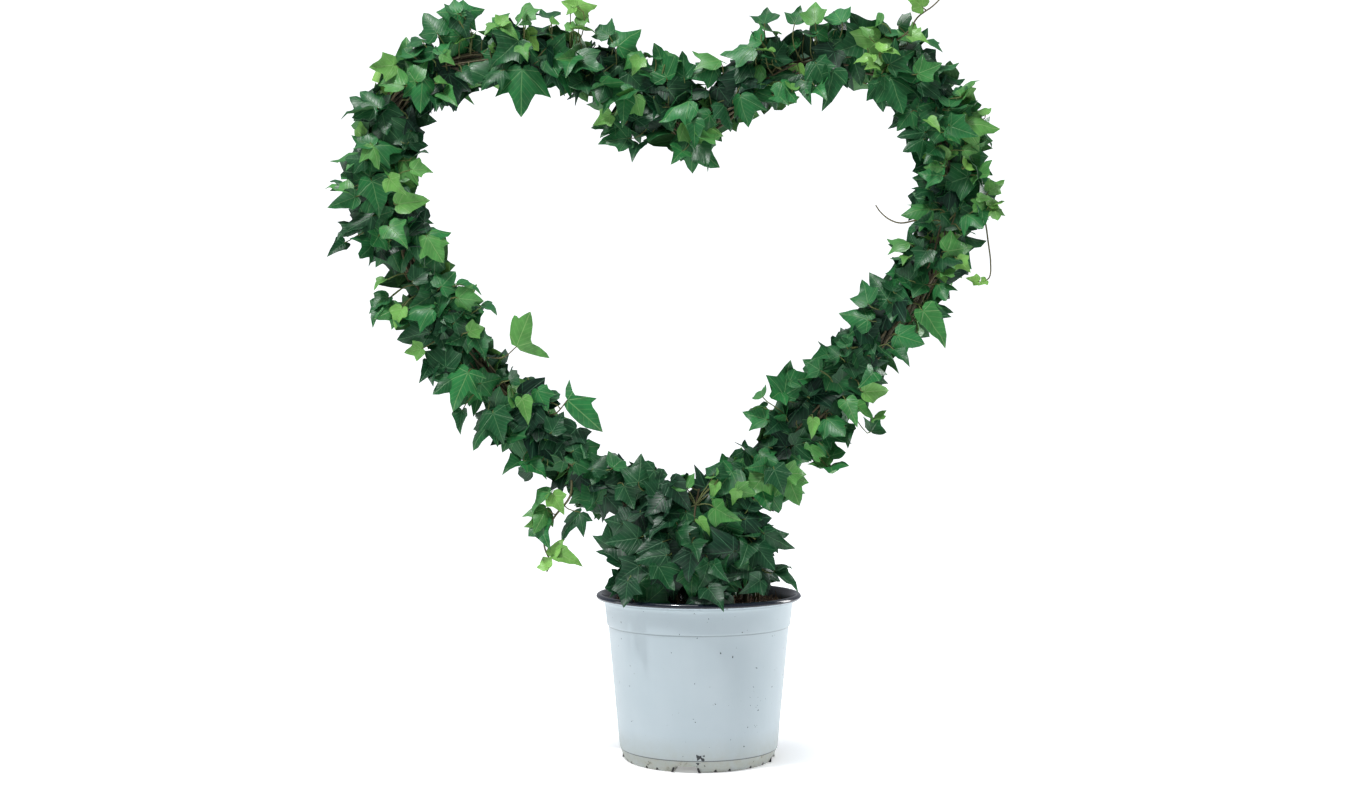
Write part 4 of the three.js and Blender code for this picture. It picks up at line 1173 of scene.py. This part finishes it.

# Leaves of the front.
# The leaves that show from the front, one by one: most are held clear of the stems on stalks of one to
# five centimetres. Each grows from the stem nearest to it, and is made as one piece with that shoot.
# Each was read off the photo. Its entry: the joint and the tip in the photo's pixels, counted to the right
# and down, the tone in percent, and the form (below 0: edge-on).
PICKED_LEAVES = [
    (345.5, 243, 333.4, 254.4, 10, 7), (358, 228, 341, 234, 12, 1), (374, 242, 373, 257, 20, 4),
    (379, 237, 373.6, 252, 35, 5), (391, 228, 408, 244, 55, 9), (428, 237, 444, 261, 62, 0),
    (428, 235, 451, 228, 50, 4), (417, 233, 417.6, 261, 20, 2), (414, 280, 431, 266, 12, 9),
    (442, 286, 455, 270, 42, 0), (459, 285, 483, 287, 40, -7), (459, 298, 483, 303, 60, 0),
    (482, 307, 499, 308, 30, -7), (431, 309, 402, 311, 45, 4), (388, 298, 370, 309, 30, 9),
    (384, 302, 373.6, 321, 30, -7), (384, 280, 374, 287, 70, 9), (399, 308, 381, 318, 55, 4),
    (402, 309, 394, 326.5, 80, 9), (402, 318, 405, 332, 30, 5), (430, 332, 400, 341, 12, 0),
    (422, 349, 405, 354, 75, 5), (455, 322, 471, 310, 15, 0), (470, 332, 485, 326, 70, 9),
    (476, 337, 489, 355, 30, 1), (430, 366, 428, 377, 10, 7), (434, 368, 434, 380, 10, 7),
    (455, 378, 439, 390, 25, 4), (468, 373, 453, 407, 50, 2), (462, 411, 459.5, 432, 20, 7),
    (482, 383, 502, 377, 35, 0), (486, 411, 470, 411, 10, 2), (511, 380, 520, 372, 20, 7),
    (493, 421, 471.5, 445, 22, 2), (494, 414, 505, 441, 20, 1), (538, 391, 547, 411, 50, 0),
    (549, 399, 560, 389, 20, 7), (523, 399, 531, 422, 70, 7), (552, 431, 563, 413, 12, 5),
    (574, 451, 588, 440, 15, 0), (575, 463, 593, 451, 30, 0), (593, 469, 609, 453, 12, 0),
    (614, 468, 625, 457, 40, 9), (521, 462, 508, 465, 25, 7), (532, 472, 513, 471, 12, 7),
    (526, 462, 549, 472.5, 45, 1), (550, 493, 528, 509, 55, -7), (554, 495, 565, 513, 85, 9),
    (547, 508, 541, 525, 60, 10), (543.5, 524, 546, 543, 40, 9), (538, 523, 530, 523.5, 70, 9),
    (580, 513, 559, 533, 15, 2), (554, 555, 562, 537.5, 90, 7), (557.6, 553.5, 582, 561, 85, 7),
    (548.6, 567.5, 541, 556, 95, 9), (458, 14, 433, 9, 50, 4), (459, 15, 457, -2, 30, 1),
    (461, 14, 485, 4, 45, 4), (461, 18, 468, 41, 12, 9), (437, 33, 422, 9.5, 30, 0),
    (443, 54, 446, 34, 50, 7), (444, 55, 454, 66, 65, 9), (501, 25, 508, 11, 80, 9),
    (498, 24, 487, 11, 55, 4), (496, 27, 485, 33, 70, 9), (522, 17, 522, -5, 60, 2),
    (526, 18, 528, 28, 60, 7), (504, 27, 519, 38, 70, 7), (550, 19, 542, 11, 20, 5),
    (552, 24, 561, 20, 70, 9), (577, 8, 598, 1, 85, 4), (576, 7, 565, 1, 85, 5),
    (580, 25, 589, 10, 70, 7), (574, 29, 597, 26, 75, -7), (573, 29, 563, 20, 65, 7),
    (609, 36, 594, 21, 30, 1), (619, 46, 642, 23, 50, 4), (524, 47, 527, 59, 65, 9),
    (522, 70, 521, 114, 38, 4), (501, 71, 482, 85.5, 20, 2), (463, 73, 474, 85, 15, 7),
    (519, 42, 492.5, 65, 25, 1), (582, 82, 568, 94, 20, 5), (606, 83, 601, 101, 15, 0),
    (577, 61, 605, 76.5, 28, 5), (572, 60, 568, 74, 40, 9), (630, 92, 601, 105, 35, 1),
    (610, 116, 594, 125.6, 75, 9), (616, 127, 590, 124, 25, 3), (628, 139, 600, 141, 30, 1),
    (625, 98, 624, 125.6, 35, 7), (666, 78, 658, 44, 38, 5), (669, 61, 684, 53, 55, 7),
    (684, 78, 684, 52, 22, 5), (638, 60, 621, 47, 55, 4), (640, 60, 633, 75, 75, 9),
    (656, 59, 646, 48, 40, 7), (715, 68, 688, 76, 35, 0), (721, 61, 696.5, 41.5, 60, 4),
    (752, 47, 720, 47, 45, 0), (762, 41, 748, 31, 50, 9), (765, 24, 769, 10.5, 25, 5),
    (765, 31, 779, 25.5, 55, 9), (772, 52, 756, 45, 75, -7), (774, 60, 789, 38, 12, 1),
    (689.5, 101, 658, 115, 50, 4), (694.6, 122, 696.5, 147, 35, 7), (697, 146, 691, 169, 25, 5),
    (682, 152, 675, 162, 45, 9), (700, 138, 717, 137, 60, 5), (724, 106, 735, 130, 15, 0),
    (740.5, 97, 744, 125.6, 35, 11), (778, 95, 781.5, 104, 40, 7), (638.5, 145, 633, 157, 10, 7),
    (795, 24, 801, 8, 35, 5), (815, 22, 814, -3, 65, 9), (842, 22, 834, 3, 50, 9),
    (818, 33, 832, 19, 50, 4), (811, 37, 803, 22, 35, 7), (837, 29, 855, 18, 10, 2),
    (869, 37, 861, 23, 70, 7), (881.6, 23, 869, 24, 60, 7), (885, 34, 897, 21, 40, 9),
    (899, 25.5, 918, 12, 35, 7), (912, 37, 927.5, 41.5, 80, 9), (913, 35, 916, 19, 75, 7),
    (927, 40, 941, 33, 40, 4), (883, 51, 878, 38, 95, 7), (883, 51, 889, 43, 95, 9),
    (884, 51, 899, 52, 85, 7), (870, 60, 854, 59, 90, 7), (873, 62, 871, 51, 90, 7),
    (874, 65, 867, 69, 90, 9), (885, 76, 912, 74, 30, 0), (890, 64, 918.6, 47, 25, 3),
    (919, 74, 941, 64, 55, 5), (921, 61, 938, 52, 25, 7), (834, 71, 828, 109, 22, 7),
    (816.5, 64, 828, 89, 25, 1), (817, 87, 822, 98, 50, 9), (805, 82, 807, 103, 25, 7),
    (782, 83, 797, 101, 50, 0), (793, 90, 792, 79, 70, 9), (880, 82, 882, 110, 20, 2),
    (890.5, 79, 903, 112, 28, 0), (911, 112, 896.6, 128.6, 35, 4), (925, 133, 899, 136.5, 15, 2),
    (924, 140, 904, 150, 20, 4), (936, 148, 923, 160, 20, 5), (963, 98, 975, 74, 60, 7),
    (962, 97, 976, 93, 60, 9), (962, 95, 959, 81, 30, 7), (950, 106, 951, 90, 35, 9),
    (951, 110, 979, 106, 30, -5), (966, 125, 968, 110, 70, 0), (964, 124, 998, 126, 68, 4),
    (986, 115, 984, 105, 75, 9), (983.5, 131, 994, 131, 40, 9), (951, 127, 972, 138, 40, 1),
    (975, 146, 983.5, 140, 40, 7), (964, 151, 977, 152, 65, 4), (966, 167, 973, 159, 95, 9),
    (971, 167, 980, 176, 10, 9), (979, 175, 990, 180, 60, 5), (983.5, 197, 989, 185, 20, 5),
    (990, 192, 1005, 182, 70, 5), (990, 206, 1000, 197, 80, 9), (993, 206, 1003.6, 203.5, 80, 5),
    (994, 208, 996, 218.5, 75, 0), (979, 197, 989, 200, 70, 7), (983.5, 202, 974, 211.5, 65, 0),
    (981, 207, 983, 225, 40, 7), (967, 215, 977.5, 223.6, 45, 4), (962, 230, 971, 225, 15, 9),
    (929.5, 209, 903, 211, 55, 4), (932, 192, 918, 193, 12, 2), (931, 221, 917.5, 225, 15, 7),
    (941, 167, 923, 164.5, 60, 4), (941, 176, 925.5, 174, 50, 5), (940, 163, 931, 159, 65, 5),
    (939, 149.5, 923, 160, 25, 4), (928, 121, 938, 129, 80, 7), (947, 133.5, 944.5, 146, 50, 5),
    (947, 251, 979, 246, 60, 4), (943, 258, 958, 260, 12, 0), (958, 260, 970, 272, 85, 9),
    (944.5, 273, 953.6, 280, 65, 5), (939, 285, 940, 297, 40, 4), (927, 305, 951, 308, 25, 2),
    (930, 312, 944, 318, 15, 9), (924, 311, 948, 343, 55, 7), (898.5, 336, 924, 344, 50, 0),
    (895, 350, 905, 360, 25, 7), (864.7, 391.6, 894, 390.5, 75, 7), (873, 373, 862, 384, 50, 7),
    (909, 243, 890.5, 231.5, 60, 4), (918, 251, 889, 243.5, 15, 3), (918, 250, 920, 235, 10, 9),
    (908, 258, 901, 262, 70, 9), (927, 251, 913.5, 268, 18, 1), (888, 299, 870, 270, 20, 4),
    (894, 291, 892, 279, 12, 9), (909, 280, 892, 270.5, 15, 2), (868, 303, 867.6, 284, 35, 5),
    (868, 320, 840, 309.5, 40, 4), (847, 346, 847.5, 329, 30, 7), (784, 395, 788.5, 362, 35, 5),
    (790, 381, 816.5, 375, 40, 7), (807, 395, 795, 387, 5, 9), (809, 395, 819, 381, 5, 9),
    (781, 392, 767, 401, 50, 5), (766.5, 419, 748, 415, 45, 5), (763.5, 407, 750, 408, 45, -7),
    (763, 397, 760.6, 387.5, 55, 7), (828, 354.5, 812, 357, 30, 7), (839, 355.5, 828, 343, 25, 2),
    (820, 370, 809, 361.6, 35, 5), (850, 348, 834, 345, 20, 7), (856, 406.5, 876, 417, 60, 7),
    (847, 401, 855, 422, 55, 7), (876, 418, 886, 419, 70, 5), (872, 431, 879, 423, 30, 5),
    (827, 420, 842, 432, 40, 0), (845, 428, 847, 440, 20, 7), (813.5, 420, 813.5, 438, 75, 7),
    (811, 447, 815.5, 465, 60, 5), (787, 473, 810, 473, 65, 9), (787, 474, 800, 503, 62, 0),
    (775, 470, 784, 493, 50, 1), (830, 456.5, 832, 443, 40, 5), (829, 456, 823, 450, 35, 7),
    (826, 465, 819, 456, 60, 5), (831, 466, 831, 476, 45, 5), (760, 454.5, 778, 463, 40, 0),
    (765, 465, 751.5, 468, 50, 7), (769, 447, 754, 442, 15, 2), (780, 422, 769, 430, 8, 9),
    (752, 455, 744.6, 447.5, 15, 5), (639, 482, 642, 452, 50, 4), (657, 496, 660, 474, 30, 5),
    (687, 488, 677, 473, 60, 9), (671, 482, 691, 509, 15, 7), (715, 473, 723, 458, 55, 4),
    (716, 476, 706, 474, 65, 9), (726, 468, 736, 458, 40, 9), (744, 468, 744, 448, 12, 2),
    (737, 490.5, 755, 495, 65, 0), (738.6, 492, 731.5, 503, 75, 9), (717.5, 483.5, 710.5, 499, 75, 7),
    (716, 508, 735, 520, 60, 9), (745.6, 519, 774, 516, 10, 0), (748, 510, 756, 497, 10, 9),
    (765, 533, 792, 530, 35, 4), (765, 534, 792, 550, 40, 7), (699, 520, 712, 532, 75, 7),
    (752.6, 537, 731.5, 533, 50, 1), (748, 544, 744, 559, 50, 7), (757, 547, 775, 566, 25, 0),
    (776, 570.5, 792, 563.5, 40, 7), (776, 573, 799, 582, 40, -7), (760, 580, 743, 591.5, 35, 9),
    (658.6, 566, 672, 592, 50, 5), (667, 555, 636, 556.5, 30, 4), (709, 563.5, 702, 591.5, 50, 9),
    (715, 565, 724, 577.5, 50, 7), (734, 551, 696.5, 556.5, 6, 4), (709, 589, 723, 601, 30, 1),
    (622, 563.5, 599, 546, 20, 9), (622, 524, 601, 519, 35, 4), (637.5, 538, 608, 541, 35, 1),
    (628, 582, 626, 608, 20, 5), (625, 581, 611, 586, 25, 0), (639, 566, 615, 580, 22, 1),
    (663, 542, 637.5, 552, 20, 0), (598, 483.5, 637.5, 489, 30, 4), (670, 520, 649, 530, 20, 1),
    (607, 496, 623.5, 516, 15, 0), (628, 518.6, 636, 502, 15, 1), (664, 497.5, 647, 518.6, 10, 5),
    (677, 531, 685, 542, 50, 4), (693, 543, 699, 551, 55, 9), (423, 41, 412, 29, 25, 0),
    (414, 57, 403.5, 50, 40, 5), (432, 60, 416, 52, 25, 9), (394, 65, 370, 70, 75, 5),
    (416, 81, 399, 58.5, 55, 4), (403, 86, 375, 77.5, 60, 9), (377, 107, 357, 86, 25, 2),
    (376, 107, 349, 91, 20, 0), (370, 110, 342, 111.5, 20, -7), (423, 79, 423, 110, 50, 11),
    (439, 83, 452, 81, 65, 9), (444, 93, 457, 104, 55, 7), (435, 98, 442, 108, 15, 7),
    (375, 146, 403.5, 142, 40, 4), (373, 146, 352, 138.6, 40, 5), (373, 146, 383, 166.6, 65, 4),
    (365, 160, 343, 155, 20, 0), (349, 191, 325, 181, 60, 7), (350, 185, 330, 174, 20, 2),
    (356, 198, 330, 208, 35, 7), (413, 170, 433.6, 169, 65, 9), (391, 179, 405, 194.5, 75, 9),
    (399, 205, 430, 197, 70, 7), (412, 158, 423, 145, 8, 9), (410, 142, 419, 125, 10, 0),
    (372, 182, 384, 213, 35, 1), (372, 217, 342, 232, 10, 2), (692, 553, 686, 580, 8, 1),
]
# Millimetres in a pixel, the column at the hoop's middle, and the height of the photo's upper edge.
PIXEL_SIZE = 0.8333
MIDDLE_COLUMN = 699
UPPER_EDGE = 630.5
# The eye's place in millimetres: leaves at any depth stand in line with it where the picture shows them.
EYE = Vector((-13, -1390, 293))
MOUND_TOP, MOUND_HALF_WIDTH = 240, 95
# Dark leaves on the mound are this much darker still, as they stand in the shade of the bundle.
MOUND_SHADE = 0.3
# A leaf whose tip lies below this height hangs in front of the pot's lip, at this distance from its middle.
OVER_THE_RIM = 128
RIM_CLEAR = 90
# Other leaves nearer than this to a front leaf are kept this far behind it.
CLEAR_OF = 12
BEHIND = 7


def in_plane(column, row):
    """Where a point of the photo lies in the hoop's plane: its x and z in whole millimetres."""
    return round((column - MIDDLE_COLUMN) * PIXEL_SIZE), round(UPPER_EDGE - row * PIXEL_SIZE)


def on_mound(x, z):
    return z < MOUND_TOP and abs(x) < MOUND_HALF_WIDTH


def front_depth(x, z, tone):
    """How far in front of the hoop's plane a leaf is held: farther over the stems and on the mound."""
    if on_mound(x, z):
        return 14 + math.sqrt(max(0, MOUND_REACH**2 - x * x)) * mix(0.86, 0.4, smooth((z - 140) / 90))
    wire_gap = min(math.hypot(p.x - x, p.z - z) for p in hoop_line[::8])
    return 11 + 10 * math.exp(-((wire_gap / 20) ** 2)) + 12 * tone


def seen_at(x, z, depth):
    """The point a depth in front of the hoop that the eye sees at x and z of the hoop's plane."""
    return EYE + (Vector((x, 0, z)) - EYE) * ((depth + EYE.y) / EYE.y)


front_leaves = [
    (*in_plane(column, row), *in_plane(tip_column, tip_row), percent, form)
    for column, row, tip_column, tip_row, percent, form in PICKED_LEAVES
]
front_plans = []
for x, z, tip_x, tip_z, percent, form in front_leaves:
    tone = percent / 100
    if on_mound(x, z) and tone < 0.6:
        tone *= MOUND_SHADE
    dice = random.Random(f"{x} {z} {tip_x} {tip_z}")
    depth = front_depth(x, z, tone)
    if tip_z < OVER_THE_RIM:
        depth = math.sqrt(RIM_CLEAR**2 - x * x)
    joint = seen_at(x, z, depth)
    flat = Vector((tip_x - x, 0, tip_z - z)) * ((joint.y - EYE.y) / -EYE.y)
    length = max(flat.length * 1.04, (10 if tone > 0.6 else 18) + 6 * dice.random())
    lean = math.sqrt(max(0, length**2 - flat.length**2))
    tip = flat + FRONT * lean * (1 if flat.z < 0 else -0.8)
    face = FRONT + UP * 0.35 + Vector([dice.uniform(-0.6, 0.6) for _ in range(3)])
    if form < 0:
        face = UP + FRONT * 0.35
    front_plans.append((joint, tip, face, length, abs(form), tone))

# Smaller dark leaves lie close to the stems wherever the leaves above would let them show, but not at the
# spots where the stems are bare: x, z and radius.
BARE_SPOTS = [
    (-214, 573, 4), (-196, 577, 5), (-250, 550, 3), (-272, 524, 3), (-249, 403, 5), (-246, 388, 4),
    (-176, 312, 5), (-169, 302, 4), (60, 572, 3), (92, 582, 4), (12, 537, 2), (-60, 568, 2), (-22, 519, 4),
    (192, 395, 6), (76, 256, 6), (158, 354, 5), (205, 492, 3), (202, 428, 5), (42, 214, 3), (180, 374, 4),
    (104, 289, 5), (-186, 325, 4), (-113, 247, 3),
]
# The margin round these, and the spacing, depth, least height and tones of the smaller leaves.
BARE_MARGIN = 8
FILL_STEP = 11
FILL_DEPTH = 13
FILL_LOWEST = 138
FILL_TONES = [0.0, 0.03, 0.08, 0.14, 0.22, 0.32]
# A dark hollow low in the mound, where the leaves lie farther back: x, z and radius.
HOLLOW = (-12, 155, 15)
covered = [
    (mix(x, tip_x, 0.42), mix(z, tip_z, 0.42), 0.4 * max(11, math.hypot(tip_x - x, tip_z - z)))
    for x, z, tip_x, tip_z, _, _ in front_leaves
]
gaps = []
for side, arm in ARMS.items():
    for i in range(int((arm["length"] - 100) / FILL_STEP) + 1):
        point, along, outward = station(arm, 100 + i * FILL_STEP)
        for across, edge in ((0, None), (-10, "inner"), (10, "outer")):
            if not edge or reach_at(side, edge, 100 + i * FILL_STEP) > BARE_REACH:
                gaps.append((point.x + outward.x * across, point.z + outward.z * across, FILL_DEPTH))
# On the mound they stand in rows, within its outline and clear of the bare compost at the right.
for row in range(10):
    for column in range(13):
        x, z = -70 + 12.5 * column, 134 + 11.5 * row
        in_outline = z < 224 + 0.35 * abs(x) and (x > -60 or z > 150)
        if in_outline and (x < 22 or x < 52 and z > 152):
            share = 0.45 if math.hypot(x - HOLLOW[0], z - HOLLOW[1]) < HOLLOW[2] else 0.8
            gaps.append((x, z, front_depth(x, z, 0) * share))

dice = random.Random(77)
for x, z, depth in gaps:
    x, z = x + dice.uniform(-3, 3), z + dice.uniform(-3, 3)
    length = dice.uniform(23, 33) * (0.75 if abs(x) > 55 and z < MOUND_TOP else 1)
    turn = dice.gauss(-90, 75)
    tone = lit(x, z, dice.choice(FILL_TONES), dice)
    spread = [dice.uniform(-0.35, 0.35) for _ in range(3)]
    form = dice.choice(DARK_FORMS)
    lean = dice.uniform(-0.1, 0.45)
    bare = [(cx, cz, radius + BARE_MARGIN) for cx, cz, radius in BARE_SPOTS]
    if any(math.hypot(x - cx, z - cz) < reach for cx, cz, reach in covered + bare):
        continue
    covered.append((x, z, 0.3 * length))
    tip = Vector((math.cos(math.radians(turn)), -lean, math.sin(math.radians(turn)))).normalized()
    joint = seen_at(x, z, depth) - tip * length * 0.42
    joint.z += max(0, FILL_LOWEST - (joint + tip * length).z)
    front_plans.append((joint, tip, FRONT + UP * 0.25 + Vector(spread), length, form, tone))


def over_bare_spot(leaf):
    """Whether a leaf on the front would hide a spot where the stems are bare."""
    middle = blade_middle(leaf.joint, leaf.tip, leaf.length)
    return leaf.joint.y <= 4 and any(
        math.hypot(middle.x - x, middle.z - z) < radius + 0.36 * leaf.length for x, z, radius in BARE_SPOTS
    )


front_middles = [blade_middle(joint, tip.normalized(), length) for joint, tip, _, length, _, _ in front_plans]
for shoot in shoots:
    shoot.leaves = [leaf for leaf in shoot.leaves if not over_bare_spot(leaf)]
    for i, leaf in enumerate(shoot.leaves):
        joint, middle = leaf.joint.copy(), blade_middle(leaf.joint, leaf.tip, leaf.length)
        for front in front_middles:
            nearest = front.y + BEHIND
            if math.hypot(middle.x - front.x, middle.z - front.z) < CLEAR_OF and middle.y < nearest:
                joint.y += nearest - middle.y
                middle.y = nearest
        shoot.leaves[i] = leaf._replace(joint=joint)

# Each leaf of the front grows from the stem that is nearest to its joint and not far in front of it.
for joint, tip, face, length, form, tone in front_plans:
    best = None
    for shoot in shoots:
        if shoot.node == "bare_runner_right":
            continue
        for line, _, _ in shoot.stems:
            for i in range(0, len(line) - 1, 2):
                gap = (line[i] - joint).length + max(0, line[i].y + 4) * 0.8
                if best is None or gap < best[0]:
                    best = (gap, shoot, line[i], line[i + 1] - line[i])
    _, shoot, foot, growing = best
    away = (joint - foot).normalized()
    away = (away + growing.normalized() * 0.5).normalized()
    shoot.leaf(foot, away, joint, tip, face, length, form, tone)

for shoot in shoots:
    shoot.finish()

# Studio.
# A pale seamless floor that curves up into a round wall, big soft lamps, and the camera.
FLOOR_PROFILE = [(0, 0), (0.3, 0), (0.7, 0), (1.1, 0)]
WALL_PROFILE = [(1.1, 0), (2.4, 0), (3.0, 0.06), (3.4, 0.25), (3.65, 0.6), (3.75, 1.2), (3.78, 3.4)]
STUDIO_SEGMENTS = 96
# Matt white paper with painted light: it glows by itself, weaker close to the pot and full from a hand's
# width away, so that it reads as even white a hand's width from the pot; the floor's glow also lights the
# plant.
paper, add, shader = new_finish("backlit_matt_paper", Roughness=0.9, Specular_IOR_Level=0.1)
place = add("TexCoord").outputs["Object"]
from_pot = add("VectorMath", [place], operation="LENGTH")
glow = add("MapRange", [from_pot, 0.062, 0.16, 0.3, 0.74], interpolation_type="SMOOTHSTEP")
paper_cloud = add("TexNoise", [place, repeats(333), 2.0])
paper_white = add("Mix", [paper_cloud, "#f4f5f6", "#fafafa"], data_type="RGBA")
feed(shader, {"Base Color": paper_white, "Emission Color": paper_white, "Emission Strength": glow})
for name, profile in (("studio_floor", FLOOR_PROFILE), ("studio_wall", WALL_PROFILE)):
    stage_mesh = plain_mesh(name, *turned([(r / MM, z / MM) for r, z in profile], STUDIO_SEGMENTS))
    stage_mesh.materials.append(paper)
    stage = bpy.data.objects.new(name, stage_mesh)
    bpy.context.scene.collection.objects.link(stage)
# The wall, which comes last, throws no light of its own on the plant.
stage.visible_diffuse = False
stage.visible_glossy = False

world = bpy.data.worlds.new("studio_air")
world.use_nodes = True
feed(world.node_tree.nodes["Background"], {"Color": "#f1f6ff", "Strength": 0.36})
bpy.context.scene.world = world

# Each lamp: name, place, what it faces, width and height in metres, and watts.
LAMPS = [
    ("top_softbox", (-0.5, -0.7, 2.3), (0, 0, 0.4), 1.6, 1.2, 20),
    ("high_lamp", (-0.75, -0.85, 2.3), (0, 0, 0.3), 0.2, 0.2, 31),
    ("left_softbox", (-1.9, 0.2, 0.8), (0, 0, 0.3), 0.7, 1.6, 8),
    ("right_softbox", (1.7, 0.75, 0.5), (0, 0, 0.15), 0.5, 1.3, 26),
]
for name, position, target, width, height, watts in LAMPS:
    lamp = bpy.data.lights.new(name, "AREA")
    lamp.shape, lamp.size, lamp.size_y, lamp.energy = "RECTANGLE", width, height, watts
    lamp_object = bpy.data.objects.new(name, lamp)
    lamp_object.location = position
    lamp_object.rotation_euler = (Vector(target) - Vector(position)).to_track_quat("-Z", "Y").to_euler()
    lamp_object.visible_camera = False
    bpy.context.scene.collection.objects.link(lamp_object)

camera_data = bpy.data.cameras.new("camera")
camera_data.lens = 44.0
camera_data.sensor_width = 36.0
camera = bpy.data.objects.new("camera", camera_data)
camera.location = (-0.013, -1.39, 0.293)
camera.rotation_euler = (math.radians(90), 0, 0)
bpy.context.scene.collection.objects.link(camera)
bpy.context.scene.camera = camera
bpy.context.scene.view_settings.view_transform = "Standard"
